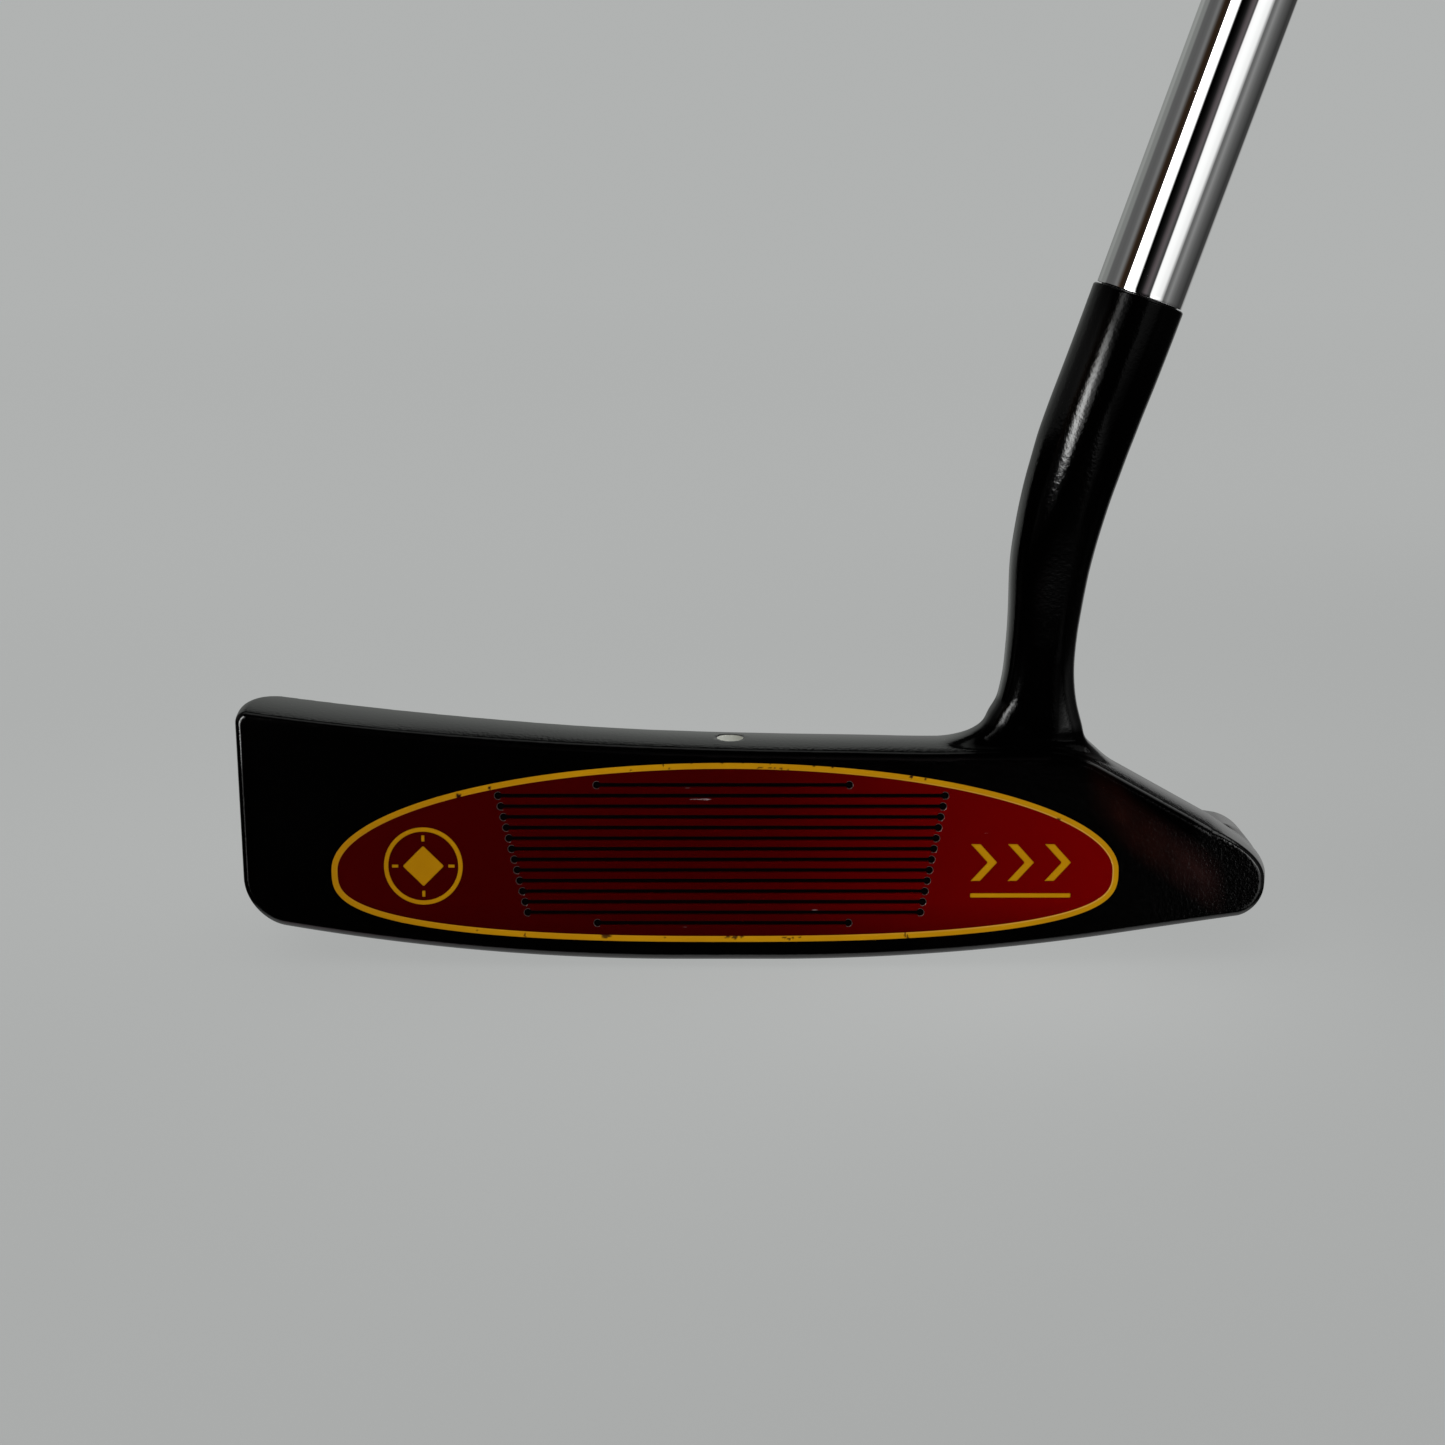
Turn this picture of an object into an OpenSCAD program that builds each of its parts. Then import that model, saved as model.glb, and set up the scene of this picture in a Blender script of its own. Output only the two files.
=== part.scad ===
// Heel-toe weighted blade putter, right-handed, standing at its address pose.
// X runs from toe (-) to heel (+), the face looks along -Y, Z is up and the
// origin is the centre of the small flat land under the sole.

/* [Club] */
// Length from the sole to the end of the grip, along the shaft
club_len = 864; // [840:2:890]
// Lie: angle between the shaft and the ground
lie = 71; // [70:0.5:72]
// Loft of the face
loft = 3.5; // [3:0.5:4]

/* [Head] */
// Height of the topline where it is lowest, near the neck
top_h = 23.8; // [23.4:0.1:24.2]
// Curvature that lifts the topline towards the toe
toe_lift = 8.1; // [7.5:0.1:8.5]
// Depth of the head from leading edge to back of the flange
head_d = 27; // [26:0.5:28]
// Thickness of the topline at the dot
top_t = 8; // [7.5:0.5:8.5]
// Height of the flange shelf behind the face
shelf_h = 11; // [10:0.2:12]
// Radius of the heel-to-toe camber of the sole
sole_r = 250; // [230:5:280]
// Half size of the flat land under the sole
land = 5; // [4:0.5:6]

/* [Insert] */
// Half length of the insert pocket
ins_a = 43.7; // [43:0.1:44]
// Height of the pocket above its widest line
ins_up = 12.1; // [11.8:0.1:12.2]
// Height of the pocket below its widest line
ins_dn = 8.15; // [8:0.05:8.3]
// Width of the painted border
rim_w = 0.72; // [0.6:0.02:0.9]
// Depth of the pocket in the face
pocket_t = 3; // [2.8:0.1:3.4]
// Thickness of the metal plate
plate_t = 2.2; // [2:0.1:2.4]
// Width of each groove
slot_w = 0.4; // [0.36:0.02:0.5]
// Distance between grooves
slot_pitch = 1.198; // [1.15:0.002:1.2]
// Number of long grooves
slot_n = 12; // [10:1:12]
// Diameter of the drilled groove ends
slot_end_d = 0.78; // [0.7:0.02:0.9]

/* [Neck and shaft] */
// Diameter of the neck where it meets the shaft
neck_d = 10; // [9.8:0.1:10.4]
// Diameter of the shaft at its tip
tip_d = 9.4; // [9.3:0.1:9.5]
// Diameter of the shaft under the grip
butt_d = 14.7; // [14.5:0.1:14.9]
// Wall of the steel tube
wall = 0.5; // [0.45:0.05:0.6]
// Length of the post inside the shaft
post_len = 28; // [24:1:32]
// Straight length of the tip before the first step
tip_len = 215; // [210:1:220]
// Distance between shaft steps
step_len = 24; // [22:1:25]
// Number of shaft steps
step_n = 11; // [9:1:11]

/* [Grip] */
// Length of the grip with its cap
grip_len = 267; // [255:1:270]
// Thickness of the tape under the grip
tape_t = 0.2; // [0.15:0.05:0.3]
// Diameter of the vent hole in the cap
vent_d = 3; // [2.5:0.5:4]

/* [Hidden] */
$fn = 64;

front = -12.5;                       // Y of the leading edge
back = front + head_d;               // Y of the back of the flange
tilt = 90 - lie;                     // lean of the shaft towards the heel
tl = tan(loft);
heel_slope = tan(29);                // fall of the heel shoulder
joint = [43.2, -11.5, 73.5];         // centre of the neck's top shoulder
joint_s = joint[2] / sin(lie);       // distance from the ground to the shoulder, along the shaft
butt_s = club_len - joint_s;         // end of the grip, from the shoulder
grip_s = butt_s - grip_len;          // start of the grip, from the shoulder
cap_t = 5;                           // thickness of the cap
shaft_s = butt_s - cap_t;            // end of the tube, from the shoulder
post_d = tip_d - 2 * wall - 0.2;     // the post leaves a 0.1 mm bond line
tape_r = butt_d / 2 + tape_t;

// ---- outlines -----------------------------------------------------------

// Height of the top front edge of the face at x
function crease(x) = top_h + (x < 25 ? toe_lift * 1e-5 * pow(25 - x, 2.5) : 0);
// Height of the sole at x: a flat land, then a long camber
function sole(x) = let (d = max(0, abs(x + 0.5) - land)) d * d / (2 * sole_r);

function arc(cx, cz, r, a0, a1, n) =
    [for (i = [0:n]) let (a = a0 + (a1 - a0) * i / n) [cx + r * cos(a), cz + r * sin(a)]];

// The shoulder rolls from the flat topline into the heel slope
shoulder_r = 12.8;
shoulder_x = 34.6;
slope_x = shoulder_x + shoulder_r * sin(29);
slope_z = top_h - shoulder_r * (1 - cos(29));
function slope(x) = slope_z - heel_slope * (x - slope_x);

head_outline = concat(
    arc(-53.0, crease(-53) - 1.3, 1.3, 180, 95, 5),
    [for (x = [-51:3:33]) [x, crease(x)]],
    arc(shoulder_x, top_h - shoulder_r, shoulder_r, 90, 61, 6),
    [for (x = [44:4:56]) [x, slope(x)]],
    [[57.4, 12.7], [58.3, 11.6], [58.9, 10.5], [59.3, 9.3], [59.3, 8.6], [59.0, 7.7],
     [58.3, 6.8], [57.3, 6.2]],
    [for (x = [55.5:-3:-47.5]) [x, sole(x)]],
    arc(-49.6, 8.6, 4.4, 262, 180, 8)
);

// Plan of the head, seen from above
plan_outline = concat(
    [[-54.4, front - 3], [-54.4, -8]],
    arc(-44.4, back - 10, 10, 180, 90, 10),
    [[-30, back - 0.3], [0, back], [34, back - 0.4]],
    arc(50.5, back - 10.4, 9.6, 90, 10, 10),
    [[60.2, -4], [60.2, front - 3]]
);

// Side section: lofted face, cambered sole and rounded back edge
side_outline = [
    [front + 40 * tl, 40], [front + 0.9 * tl, 0.95], [front + 0.2, 0.62], [front + 0.6, 0.45],
    [-10, 0.27], [-7.5, 0.08], [-land, 0], [land, 0], [8, 0.1], [back - 3, 0.4],
    [back - 1, 1.1], [back, 2.4], [back, 12], [back - 3, 40]
];

// Insert outline: half an ellipse above, a fuller curve below
ins_cx = -0.62;
ins_cz = 10.72;
function sgn(v) = v < 0 ? -1 : 1;
function ins_pt(a, w) =
    a <= 180 ? [ins_cx + (ins_a - w) * cos(a), ins_cz + (ins_up - w) * sin(a)]
             : [ins_cx + (ins_a - w) * sgn(cos(a)) * pow(abs(cos(a)), 0.8),
                ins_cz - (ins_dn - w) * pow(abs(sin(a)), 0.667)];
function ins_outline(w) = [for (i = [0:95]) ins_pt(i * 3.75, w)];

// ---- frames -------------------------------------------------------------

// Local frame of the face: x along the blade, y up the face, z out of it
module face_frame() translate([0, front, 0]) rotate([90 - loft, 0, 0]) children();
// Local frame of the shaft: z up the shaft from the neck shoulder
module shaft_frame() translate(joint) rotate([0, tilt, 0]) children();
// A plate of an insert-shaped outline, from d0 to d1 below the face
module ins_slab(w, d0, d1) translate([0, 0, -d1]) linear_extrude(d1 - d0) polygon(ins_outline(w));

// ---- neck ---------------------------------------------------------------

// Rings up the neck: x, y, z, width, depth, lean, squareness
neck_low = [
    [32.5, -6.6, 18.0, 20.0, 6.4,  0, 3.0],
    [32.3, -6.6, 23.4, 18.6, 6.4,  0, 3.0],
    [32.6, -6.6, 24.6, 15.2, 6.5,  0, 3.0],
    [33.2, -6.6, 26.0, 12.0, 6.6,  0, 3.0],
    [33.5, -6.7, 27.6, 10.2, 6.8,  0, 2.9],
    [33.8, -6.8, 29.6,  8.9, 7.0,  0, 2.8],
    [34.0, -6.9, 32.0,  8.1, 7.2,  1, 2.7],
    [34.1, -7.1, 35.0,  7.8, 7.5,  2, 2.6],
    [34.4, -7.5, 38.5,  8.0, 7.9,  4, 2.5],
    [34.8, -8.1, 42.5,  8.5, 8.4,  7, 2.4],
    [35.2, -8.7, 46.5,  9.0, 8.9, 10, 2.3],
    [36.0, -9.4, 50.5,  9.4, 9.3, 13, 2.2],
    [37.0, -10.1, 54.6, 9.7, 9.7, 16, 2.1]
];
neck_top = [for (d = [16, 12.5, 9, 6, 3, 0])
    [joint[0] - d * cos(lie), joint[1] + 0.004 * d * d, joint[2] - d * sin(lie),
     neck_d, neck_d, tilt, 2]];
neck_rings = concat(neck_low, neck_top);
neck_m = 28;

function ring(r) = [for (i = [0:neck_m - 1])
    let (a = 360 * i / neck_m,
         c = sgn(cos(a)) * pow(abs(cos(a)), 2 / r[6]) * r[3] / 2,
         s = sgn(sin(a)) * pow(abs(sin(a)), 2 / r[6]) * r[4] / 2)
    [r[0] + c * cos(r[5]), r[1] + s, r[2] - c * sin(r[5])]];

// A closed skin over equal rings
module skin(rings) {
    m = len(rings[0]);
    n = len(rings);
    polyhedron(
        points = [for (r = rings) for (p = r) p],
        faces = concat(
            [[for (i = [0:m - 1]) i]],
            [for (k = [0:n - 2]) for (i = [0:m - 1])
                let (j = (i + 1) % m) [k * m + i, (k + 1) * m + i, (k + 1) * m + j]],
            [for (k = [0:n - 2]) for (i = [0:m - 1])
                let (j = (i + 1) % m) [k * m + i, (k + 1) * m + j, k * m + j]],
            [[for (i = [m - 1:-1:0]) (n - 1) * m + i]]));
}

// ---- nodes --------------------------------------------------------------

dot_y = front + 5.4;
dot_z = crease(0) + 0.35;

module blade() {
    difference() {
        intersection() {
            union() {
                translate([0, 45, 0]) rotate([90, 0, 0]) linear_extrude(60)
                    polygon(head_outline);
                // crown of the topline, rising towards the back
                intersection() {
                    translate([0, front, 0]) rotate([3.4, 0, 0]) translate([0, 45, 0])
                        rotate([90, 0, 0]) linear_extrude(60) polygon(head_outline);
                    translate([-70, front - 5, 12]) cube([140, 5 + top_t + 1.4, 30]);
                }
            }
            rotate([90, 0, 90]) translate([0, 0, -70]) linear_extrude(140) polygon(side_outline);
            translate([0, 0, -5]) linear_extrude(50) polygon(plan_outline);
        }
        // back of the blade, above the shelf, between the toe and heel weights
        translate([0, front + top_t + 1.4 + 40, 0]) rotate([90, 0, 0]) linear_extrude(40)
            polygon([[-39, shelf_h + 1.2], [-37.5, shelf_h], [47, shelf_h], [48.5, shelf_h + 0.8],
                     [54.5, 16.4], [60, 40], [-44, 40]]);
        // top of the heel weight, kept low behind the heel slope
        rotate([90, 0, 90]) translate([0, 0, 40]) linear_extrude(40)
            polygon([[front + top_t + 1.4, 14.6], [back + 5, 10.4], [back + 5, 45],
                     [front + top_t + 1.4, 45]]);
        // top of the toe weight
        rotate([90, 0, 90]) translate([0, 0, -70]) linear_extrude(140)
            polygon([[front + top_t + 1.8, 19.2], [back + 5, 14], [back + 5, 45],
                     [front + top_t + 1.4, 45]]);
        // the shelf falls away towards the back
        translate([4.5, front + top_t + 2.4, shelf_h]) rotate([-8, 0, 0])
            translate([-41.4, 0, 0]) cube([83.1, 30, 8]);
    }
}

module head() color([0.03, 0.03, 0.035]) {
    difference() {
        union() {
            blade();
            skin([for (r = neck_rings) ring(r)]);
            shaft_frame() translate([0, 0, -6]) cylinder(d = post_d, h = post_len + 6);
        }
        face_frame() translate([0, 0, -pocket_t]) linear_extrude(pocket_t + 3)
            polygon(ins_outline(0));
        translate([0, dot_y, dot_z - 0.4]) cylinder(d = 3.2, h = 4);
    }
}

// Grooves: rows of long slots whose ends lie on two slanted lines, and a
// short slot above and below
slot_top = 19.13;
function slot_z(i) = slot_top - i * slot_pitch;
function slot_l(i) = -25.7 + 0.287 * i;
function slot_r(i) = 23.7 - 0.237 * i;

module slot_rows(w, d, z0, h) {
    for (i = [0:slot_n - 1]) one_slot(slot_l(i), slot_r(i), slot_z(i), w, d, z0, h);
    one_slot(-14.8, 13.1, slot_top + slot_pitch, w, d, z0, h);
    one_slot(-14.8, 13.1, slot_z(slot_n), w, d, z0, h);
}
module one_slot(x0, x1, z, w, d, z0, h) translate([0, z, z0]) {
    translate([x0, -w / 2, 0]) cube([x1 - x0, w, h]);
    for (x = [x0, x1]) translate([x, 0, 0]) cylinder(d = d, h = h, $fn = 24);
}

module toe_mark() {
    translate([-34.1, 11.2]) {
        difference() { circle(d = 8.8, $fn = 72); circle(d = 7.7, $fn = 72); }
        rotate(45) square(3.3, center = true);
        for (a = [0:90:270]) rotate(a) translate([2.75, -0.2]) square([0.75, 0.4]);
    }
}
module heel_mark() {
    for (i = [0:2]) translate([26.6 + 4.1 * i, 11.6])
        polygon([[0, 2.1], [1.1, 2.1], [3.0, 0], [1.1, -2.1], [0, -2.1], [1.9, 0]]);
    translate([26.6, 7.6]) square([11.2, 0.55]);
}

mark_t = 0.16;
module insert_plate() color([0.45, 0.02, 0.02]) face_frame() {
    difference() {
        ins_slab(0.06, 0, plate_t);
        difference() { ins_slab(-0.5, -0.5, 0.6); ins_slab(rim_w, -0.6, 0.7); }
        slot_rows(slot_w, slot_end_d, -plate_t - 1, plate_t + 2);
        translate([0, 0, -mark_t]) linear_extrude(1) { toe_mark(); heel_mark(); }
    }
}

backing_t = pocket_t - plate_t - 0.15;
module insert_polymer() color([0.05, 0.04, 0.04]) face_frame() {
    ins_slab(0.1, plate_t, plate_t + backing_t);
    slot_rows(slot_w - 0.02, slot_end_d - 0.02, -plate_t - 0.1, plate_t + 0.1 - 0.28);
}

module insert_adhesive() color([0.85, 0.8, 0.65]) face_frame()
    ins_slab(0.1, pocket_t - 0.15, pocket_t);

module insert_border() color([0.85, 0.6, 0.08]) face_frame() difference() {
    ins_slab(0.01, 0.04, 0.6);
    ins_slab(rim_w - 0.01, 0, 1);
}

module toe_mark_fill() color([0.85, 0.6, 0.08]) face_frame()
    translate([0, 0, -mark_t]) linear_extrude(mark_t - 0.04) toe_mark();
module heel_mark_fill() color([0.85, 0.6, 0.08]) face_frame()
    translate([0, 0, -mark_t]) linear_extrude(mark_t - 0.04) heel_mark();

module sight_dot() color([0.92, 0.92, 0.9]) translate([0, dot_y, dot_z - 0.4])
    cylinder(d = 3.18, h = 0.34);

module hosel_epoxy() color([0.12, 0.12, 0.12]) shaft_frame() {
    difference() {
        cylinder(d = post_d + 0.2, h = post_len);
        translate([0, 0, -1]) cylinder(d = post_d, h = post_len + 2);
    }
}

// Outside of the tube: straight tip, short conical steps, straight butt
function step_r(i) = tip_d / 2 + (butt_d - tip_d) / 2 * i / step_n;
function tube(off) = concat([[step_r(0) + off, 0]],
    [for (i = [0:step_n - 1]) for (k = [0, 1])
        [step_r(i + k) + off, tip_len + i * step_len + k * 2]],
    [[butt_d / 2 + off, shaft_s]]);

module shaft() color([0.8, 0.8, 0.82]) shaft_frame() translate([0, 0, 0.12])
    rotate_extrude($fn = 96) polygon(concat(
        [for (p = tube(0)) [p[0], p[1] == shaft_s ? shaft_s - 0.12 : p[1]]],
        [for (i = [len(tube(0)) - 1:-1:0]) let (p = tube(-wall)[i])
            [p[0], p[1] == shaft_s ? shaft_s - 0.12 : p[1]]]));

band_s = grip_s - 55;
module shaft_band() color([0.1, 0.1, 0.11]) shaft_frame() translate([0, 0, band_s])
    difference() {
        cylinder(d = butt_d + 0.3, h = 38, $fn = 96);
        translate([0, 0, -1]) cylinder(d = butt_d, h = 40, $fn = 96);
    }

module grip_tape() color([0.85, 0.83, 0.75]) shaft_frame() translate([0, 0, grip_s + 3])
    difference() {
        cylinder(r = tape_r, h = shaft_s - grip_s - 4, $fn = 96);
        translate([0, 0, -1]) cylinder(d = butt_d, h = grip_len, $fn = 96);
    }

// Sections up the grip: position 0..1, flat side, round side, half width
grip_table = [
    [0.000,  8.6,  8.8,  8.8],
    [0.006,  9.4,  9.7,  9.7],
    [0.050,  9.7, 10.1, 10.3],
    [0.150, 10.1, 10.6, 11.0],
    [0.300, 10.5, 11.1, 11.8],
    [0.450, 10.9, 11.5, 12.4],
    [0.580, 11.2, 11.9, 12.8],
    [0.680, 11.5, 12.4, 13.0],
    [0.760, 11.8, 13.4, 13.2],
    [0.830, 12.1, 15.0, 13.3],
    [0.890, 12.4, 16.6, 13.4],
    [0.940, 12.6, 17.4, 13.4],
    [1.000, 12.6, 17.2, 13.2]
];
grip_m = 40;
body_len = grip_len - cap_t;
function gring(xf, xb, wy, z) = [for (i = [0:grip_m - 1])
    let (a = 360 * i / grip_m, c = cos(a), s = sin(a),
         e = c < 0 ? 0.45 : 0.85)
    [sgn(c) * pow(abs(c), e) * (c < 0 ? xf : xb),
     sgn(s) * pow(abs(s), c < 0 ? 0.8 : 0.9) * wy, z]];

module grip() color([0.05, 0.05, 0.05]) shaft_frame() difference() {
    translate([0, 0, grip_s])
        skin([for (r = grip_table) gring(r[1], r[2], r[3], r[0] * body_len)]);
    translate([0, 0, grip_s - 1]) cylinder(r = tape_r, h = grip_len + 10, $fn = 96);
    // shallow groove for the painted line on the flat side
    translate([-13.6, -0.75, grip_s + 60]) cube([2.6, 1.5, 110]);
}

// Painted line at the bottom of the groove on the flat side
module grip_line_fill() color([0.8, 0.8, 0.8]) shaft_frame()
    translate([-11.0, -0.7, grip_s + 60.5]) cube([0.25, 1.4, 109]);

module grip_cap() color([0.06, 0.06, 0.06]) shaft_frame() difference() {
    translate([0, 0, grip_s + body_len]) skin([
        gring(12.6, 17.2, 13.2, 0), gring(12.5, 17.1, 13.1, 1.5),
        gring(12.1, 16.6, 12.7, 3.2), gring(11.2, 15.6, 11.8, 4.5), gring(9.8, 14.0, 10.4, cap_t)]);
    translate([0, 0, butt_s - cap_t - 1]) cylinder(d = vent_d, h = cap_t + 2, $fn = 32);
}

head();
insert_plate();
insert_polymer();
insert_adhesive();
insert_border();
toe_mark_fill();
heel_mark_fill();
sight_dot();
hosel_epoxy();
shaft();
shaft_band();
grip_tape();
grip();
grip_line_fill();
grip_cap();
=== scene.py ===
import math
import bpy
import numpy as np
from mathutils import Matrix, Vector
from mathutils.geometry import delaunay_2d_cdt


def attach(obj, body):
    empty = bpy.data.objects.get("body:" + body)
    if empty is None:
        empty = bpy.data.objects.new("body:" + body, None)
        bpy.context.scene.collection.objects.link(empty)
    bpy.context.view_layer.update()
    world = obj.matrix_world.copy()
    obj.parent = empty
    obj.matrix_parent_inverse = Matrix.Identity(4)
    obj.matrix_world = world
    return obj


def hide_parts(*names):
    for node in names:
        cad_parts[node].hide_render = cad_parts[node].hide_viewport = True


# Everything below is worked out in millimetres in the row frame and scaled on the way into a mesh.
MM = 0.001
scene = bpy.context.scene

# ------------------------------------------------------------------ camera, at the photograph's angle
cam_data = bpy.data.cameras.new("camera")
cam = bpy.data.objects.new("camera", cam_data)
scene.collection.objects.link(cam)
cam.location = (-0.0009, -0.27992, 0.08397)
cam.rotation_euler = (math.radians(78.1), 0, 0)
cam_data.sensor_width = 36
cam_data.lens = 62.28
cam_data.clip_start, cam_data.clip_end = 0.005, 60
scene.camera = cam
scene.view_settings.view_transform = "Standard"

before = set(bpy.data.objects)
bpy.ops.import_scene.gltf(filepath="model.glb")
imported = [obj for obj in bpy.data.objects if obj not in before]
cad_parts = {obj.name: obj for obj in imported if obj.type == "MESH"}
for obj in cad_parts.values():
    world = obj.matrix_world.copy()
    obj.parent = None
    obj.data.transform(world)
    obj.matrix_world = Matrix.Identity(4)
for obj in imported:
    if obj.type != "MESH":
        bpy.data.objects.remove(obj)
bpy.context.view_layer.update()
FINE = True

# ------------------------------------------------------------------ mesh helpers
def build(name, chunks, mats):
    """One mesh object from chunks of (vertices mm, [index arrays], normals, material).
    normals: an array, one per vertex, or None for the faces' own."""
    verts, faces, loops, mat = [], [], [], []
    base = 0
    for v, fs, nrm, m in chunks:
        v = np.asarray(v, float)
        verts.append(v)
        for f in fs:
            f = np.asarray(f, int)
            if len(f) == 0:
                continue
            k = f.shape[1]
            if nrm is None:
                a = v[f[:, 1]] - v[f[:, 0]]
                b = v[f[:, 2]] - v[f[:, 0]]
                n = np.cross(a, b)
                if k == 4:
                    n = np.cross(v[f[:, 2]] - v[f[:, 0]], v[f[:, 3]] - v[f[:, 1]])
                n /= np.maximum(np.linalg.norm(n, axis=1), 1e-12)[:, None]
                loops.append(np.repeat(n, k, axis=0))
            else:
                loops.append(nrm[f.ravel()])
            faces.append(f + base)
            mat.append(np.full(len(f), m))
        base += len(v)
    verts = np.concatenate(verts) * MM
    me = bpy.data.meshes.new(name)
    sizes = np.concatenate([np.full(len(f), f.shape[1]) for f in faces])
    flat = np.concatenate([f.ravel() for f in faces]).astype(np.int32)
    me.vertices.add(len(verts)); me.vertices.foreach_set("co", verts.astype(np.float32).ravel())
    me.loops.add(len(flat)); me.loops.foreach_set("vertex_index", flat)
    me.polygons.add(len(sizes))
    start = np.concatenate([[0], np.cumsum(sizes)[:-1]]).astype(np.int32)
    me.polygons.foreach_set("loop_start", start)
    me.polygons.foreach_set("material_index", np.concatenate(mat).astype(np.int32))
    me.polygons.foreach_set("use_smooth", np.ones(len(sizes), bool))
    for mt in mats:
        me.materials.append(mt)
    me.update(calc_edges=True)
    me.validate()
    nn = np.concatenate(loops)
    nn /= np.maximum(np.linalg.norm(nn, axis=1), 1e-12)[:, None]
    if len(me.loops) == len(nn):
        me.normals_split_custom_set(nn.tolist())
    ob = bpy.data.objects.new(name, me)
    scene.collection.objects.link(ob)
    return ob

def grid_faces(rows, cols, wrap=True, flip=False):
    i, j = np.meshgrid(np.arange(rows - 1), np.arange(cols if wrap else cols - 1), indexing="ij")
    i, j = i.ravel(), j.ravel(); k = (j + 1) % cols
    f = np.stack([i * cols + j, i * cols + k, (i + 1) * cols + k, (i + 1) * cols + j], 1)
    return f[:, ::-1] if flip else f

def grid_normals(P):
    """P is (rows, cols, 3), closed around the columns."""
    du = np.roll(P, -1, 1) - np.roll(P, 1, 1)
    dv = np.gradient(P, axis=0)
    n = np.cross(du, dv)
    return n / np.maximum(np.linalg.norm(n, axis=-1), 1e-12)[..., None]

def cdt(outer, holes, tag=None):
    """Triangles inside outer and outside the holes. Returns points (N,2) and triangles, every input point kept in order."""
    pts = [Vector((float(p[0]), float(p[1]))) for p in outer]
    faces = [list(range(len(pts)))]
    for h in holes:
        b = len(pts)
        pts += [Vector((float(p[0]), float(p[1]))) for p in h]
        faces.append(list(range(b, b + len(h))))
    edges = []
    for f in faces:
        edges += [(f[i], f[(i + 1) % len(f)]) for i in range(len(f))]
    ov, oe, of_, orig, _, _ = delaunay_2d_cdt(pts, edges, [], 2, 1e-6)
    P = np.array([[p.x, p.y] for p in ov])
    T = np.array([list(f) for f in of_], int)
    a, b, c = P[T[:, 0]], P[T[:, 1]], P[T[:, 2]]
    area = (b[:, 0] - a[:, 0]) * (c[:, 1] - a[:, 1]) - (b[:, 1] - a[:, 1]) * (c[:, 0] - a[:, 0])
    T[area < 0] = T[area < 0][:, ::-1]
    # keep what lies inside an odd number of outlines
    C = (P[T[:, 0]] + P[T[:, 1]] + P[T[:, 2]]) / 3
    odd = np.zeros(len(C), bool)
    for f in [outer, *holes]:
        A = np.asarray(f, float); B = np.roll(A, -1, 0)
        for i in range(0, len(C), 4000):
            c = C[i:i + 4000]
            up = (A[None, :, 1] > c[:, None, 1]) != (B[None, :, 1] > c[:, None, 1])
            with np.errstate(divide="ignore", invalid="ignore"):
                xx = A[None, :, 0] + (c[:, None, 1] - A[None, :, 1]) * (B - A)[None, :, 0] / (B - A)[None, :, 1]
            odd[i:i + 4000] ^= ((up & (xx > c[:, None, 0])).sum(1) % 2).astype(bool)
    return P, T[odd]

# ---------------------------------------------------------------- head, as a signed field in mm
LOFT = math.radians(3.5); TL = math.tan(LOFT); CL = math.cos(LOFT); SL = math.sin(LOFT)
FRONT = -12.5; BACKD = 27.0
JOINT = np.array([43.2, -11.5, 73.5]); LIE = math.radians(71); TILT = math.radians(19)
AX = np.array([math.sin(TILT), 0.0, math.cos(TILT)])

def rmax(a, b, r):
    u = np.maximum(a + r, 0); v = np.maximum(b + r, 0)
    return np.minimum(np.maximum(a, b), -r) + np.sqrt(u * u + v * v)
def rmin(a, b, r):
    u = np.maximum(r - a, 0); v = np.maximum(r - b, 0)
    return np.maximum(np.minimum(a, b), r) - np.sqrt(u * u + v * v)
def sstep(x, a, b):
    t = np.clip((x - a) / (b - a), 0, 1)
    return t * t * (3 - 2 * t)

TAN29 = math.tan(math.radians(29)); XA, RA = 34.6, 12.8
XS = XA + RA * math.sin(math.radians(29)); ZS = 23.8 - RA * (1 - math.cos(math.radians(29)))
def ztop(x):
    d = np.clip(25 - x, 0, None)
    z = 23.8 + 8.1e-5 * d ** 2.5
    s = -2.5 * 8.1e-5 * d ** 1.5
    e = np.clip(x - XA, 0, XS - XA); q = np.sqrt(RA * RA - e * e)
    z = z - (RA - q); s = s - e / q
    z = z - 0.14 * np.exp(-((x - 22) / 6.5) ** 2)
    z = z - TAN29 * np.clip(x - XS, 0, None)
    return z, s
def crown(u):
    w = np.clip(u - 1, 0, None)
    a = 2.46 * u - 1.96 * u * u
    b = 0.5 - 0.487 * (1 - np.exp(-3 * w))
    return np.where(u <= 1, a, b)
def sole_z(x, y):
    d = np.clip(np.abs(x + 0.5) - 5, 0, None)
    f = np.clip(-5 - y, 0, None) / 6.9
    b = np.clip(y - 5, 0, None) / 9.5
    return d * d / 500 + 0.45 * f * f + 1.0 * b * b - 0.0022 * np.clip(x - 43, 0, None) ** 2

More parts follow.
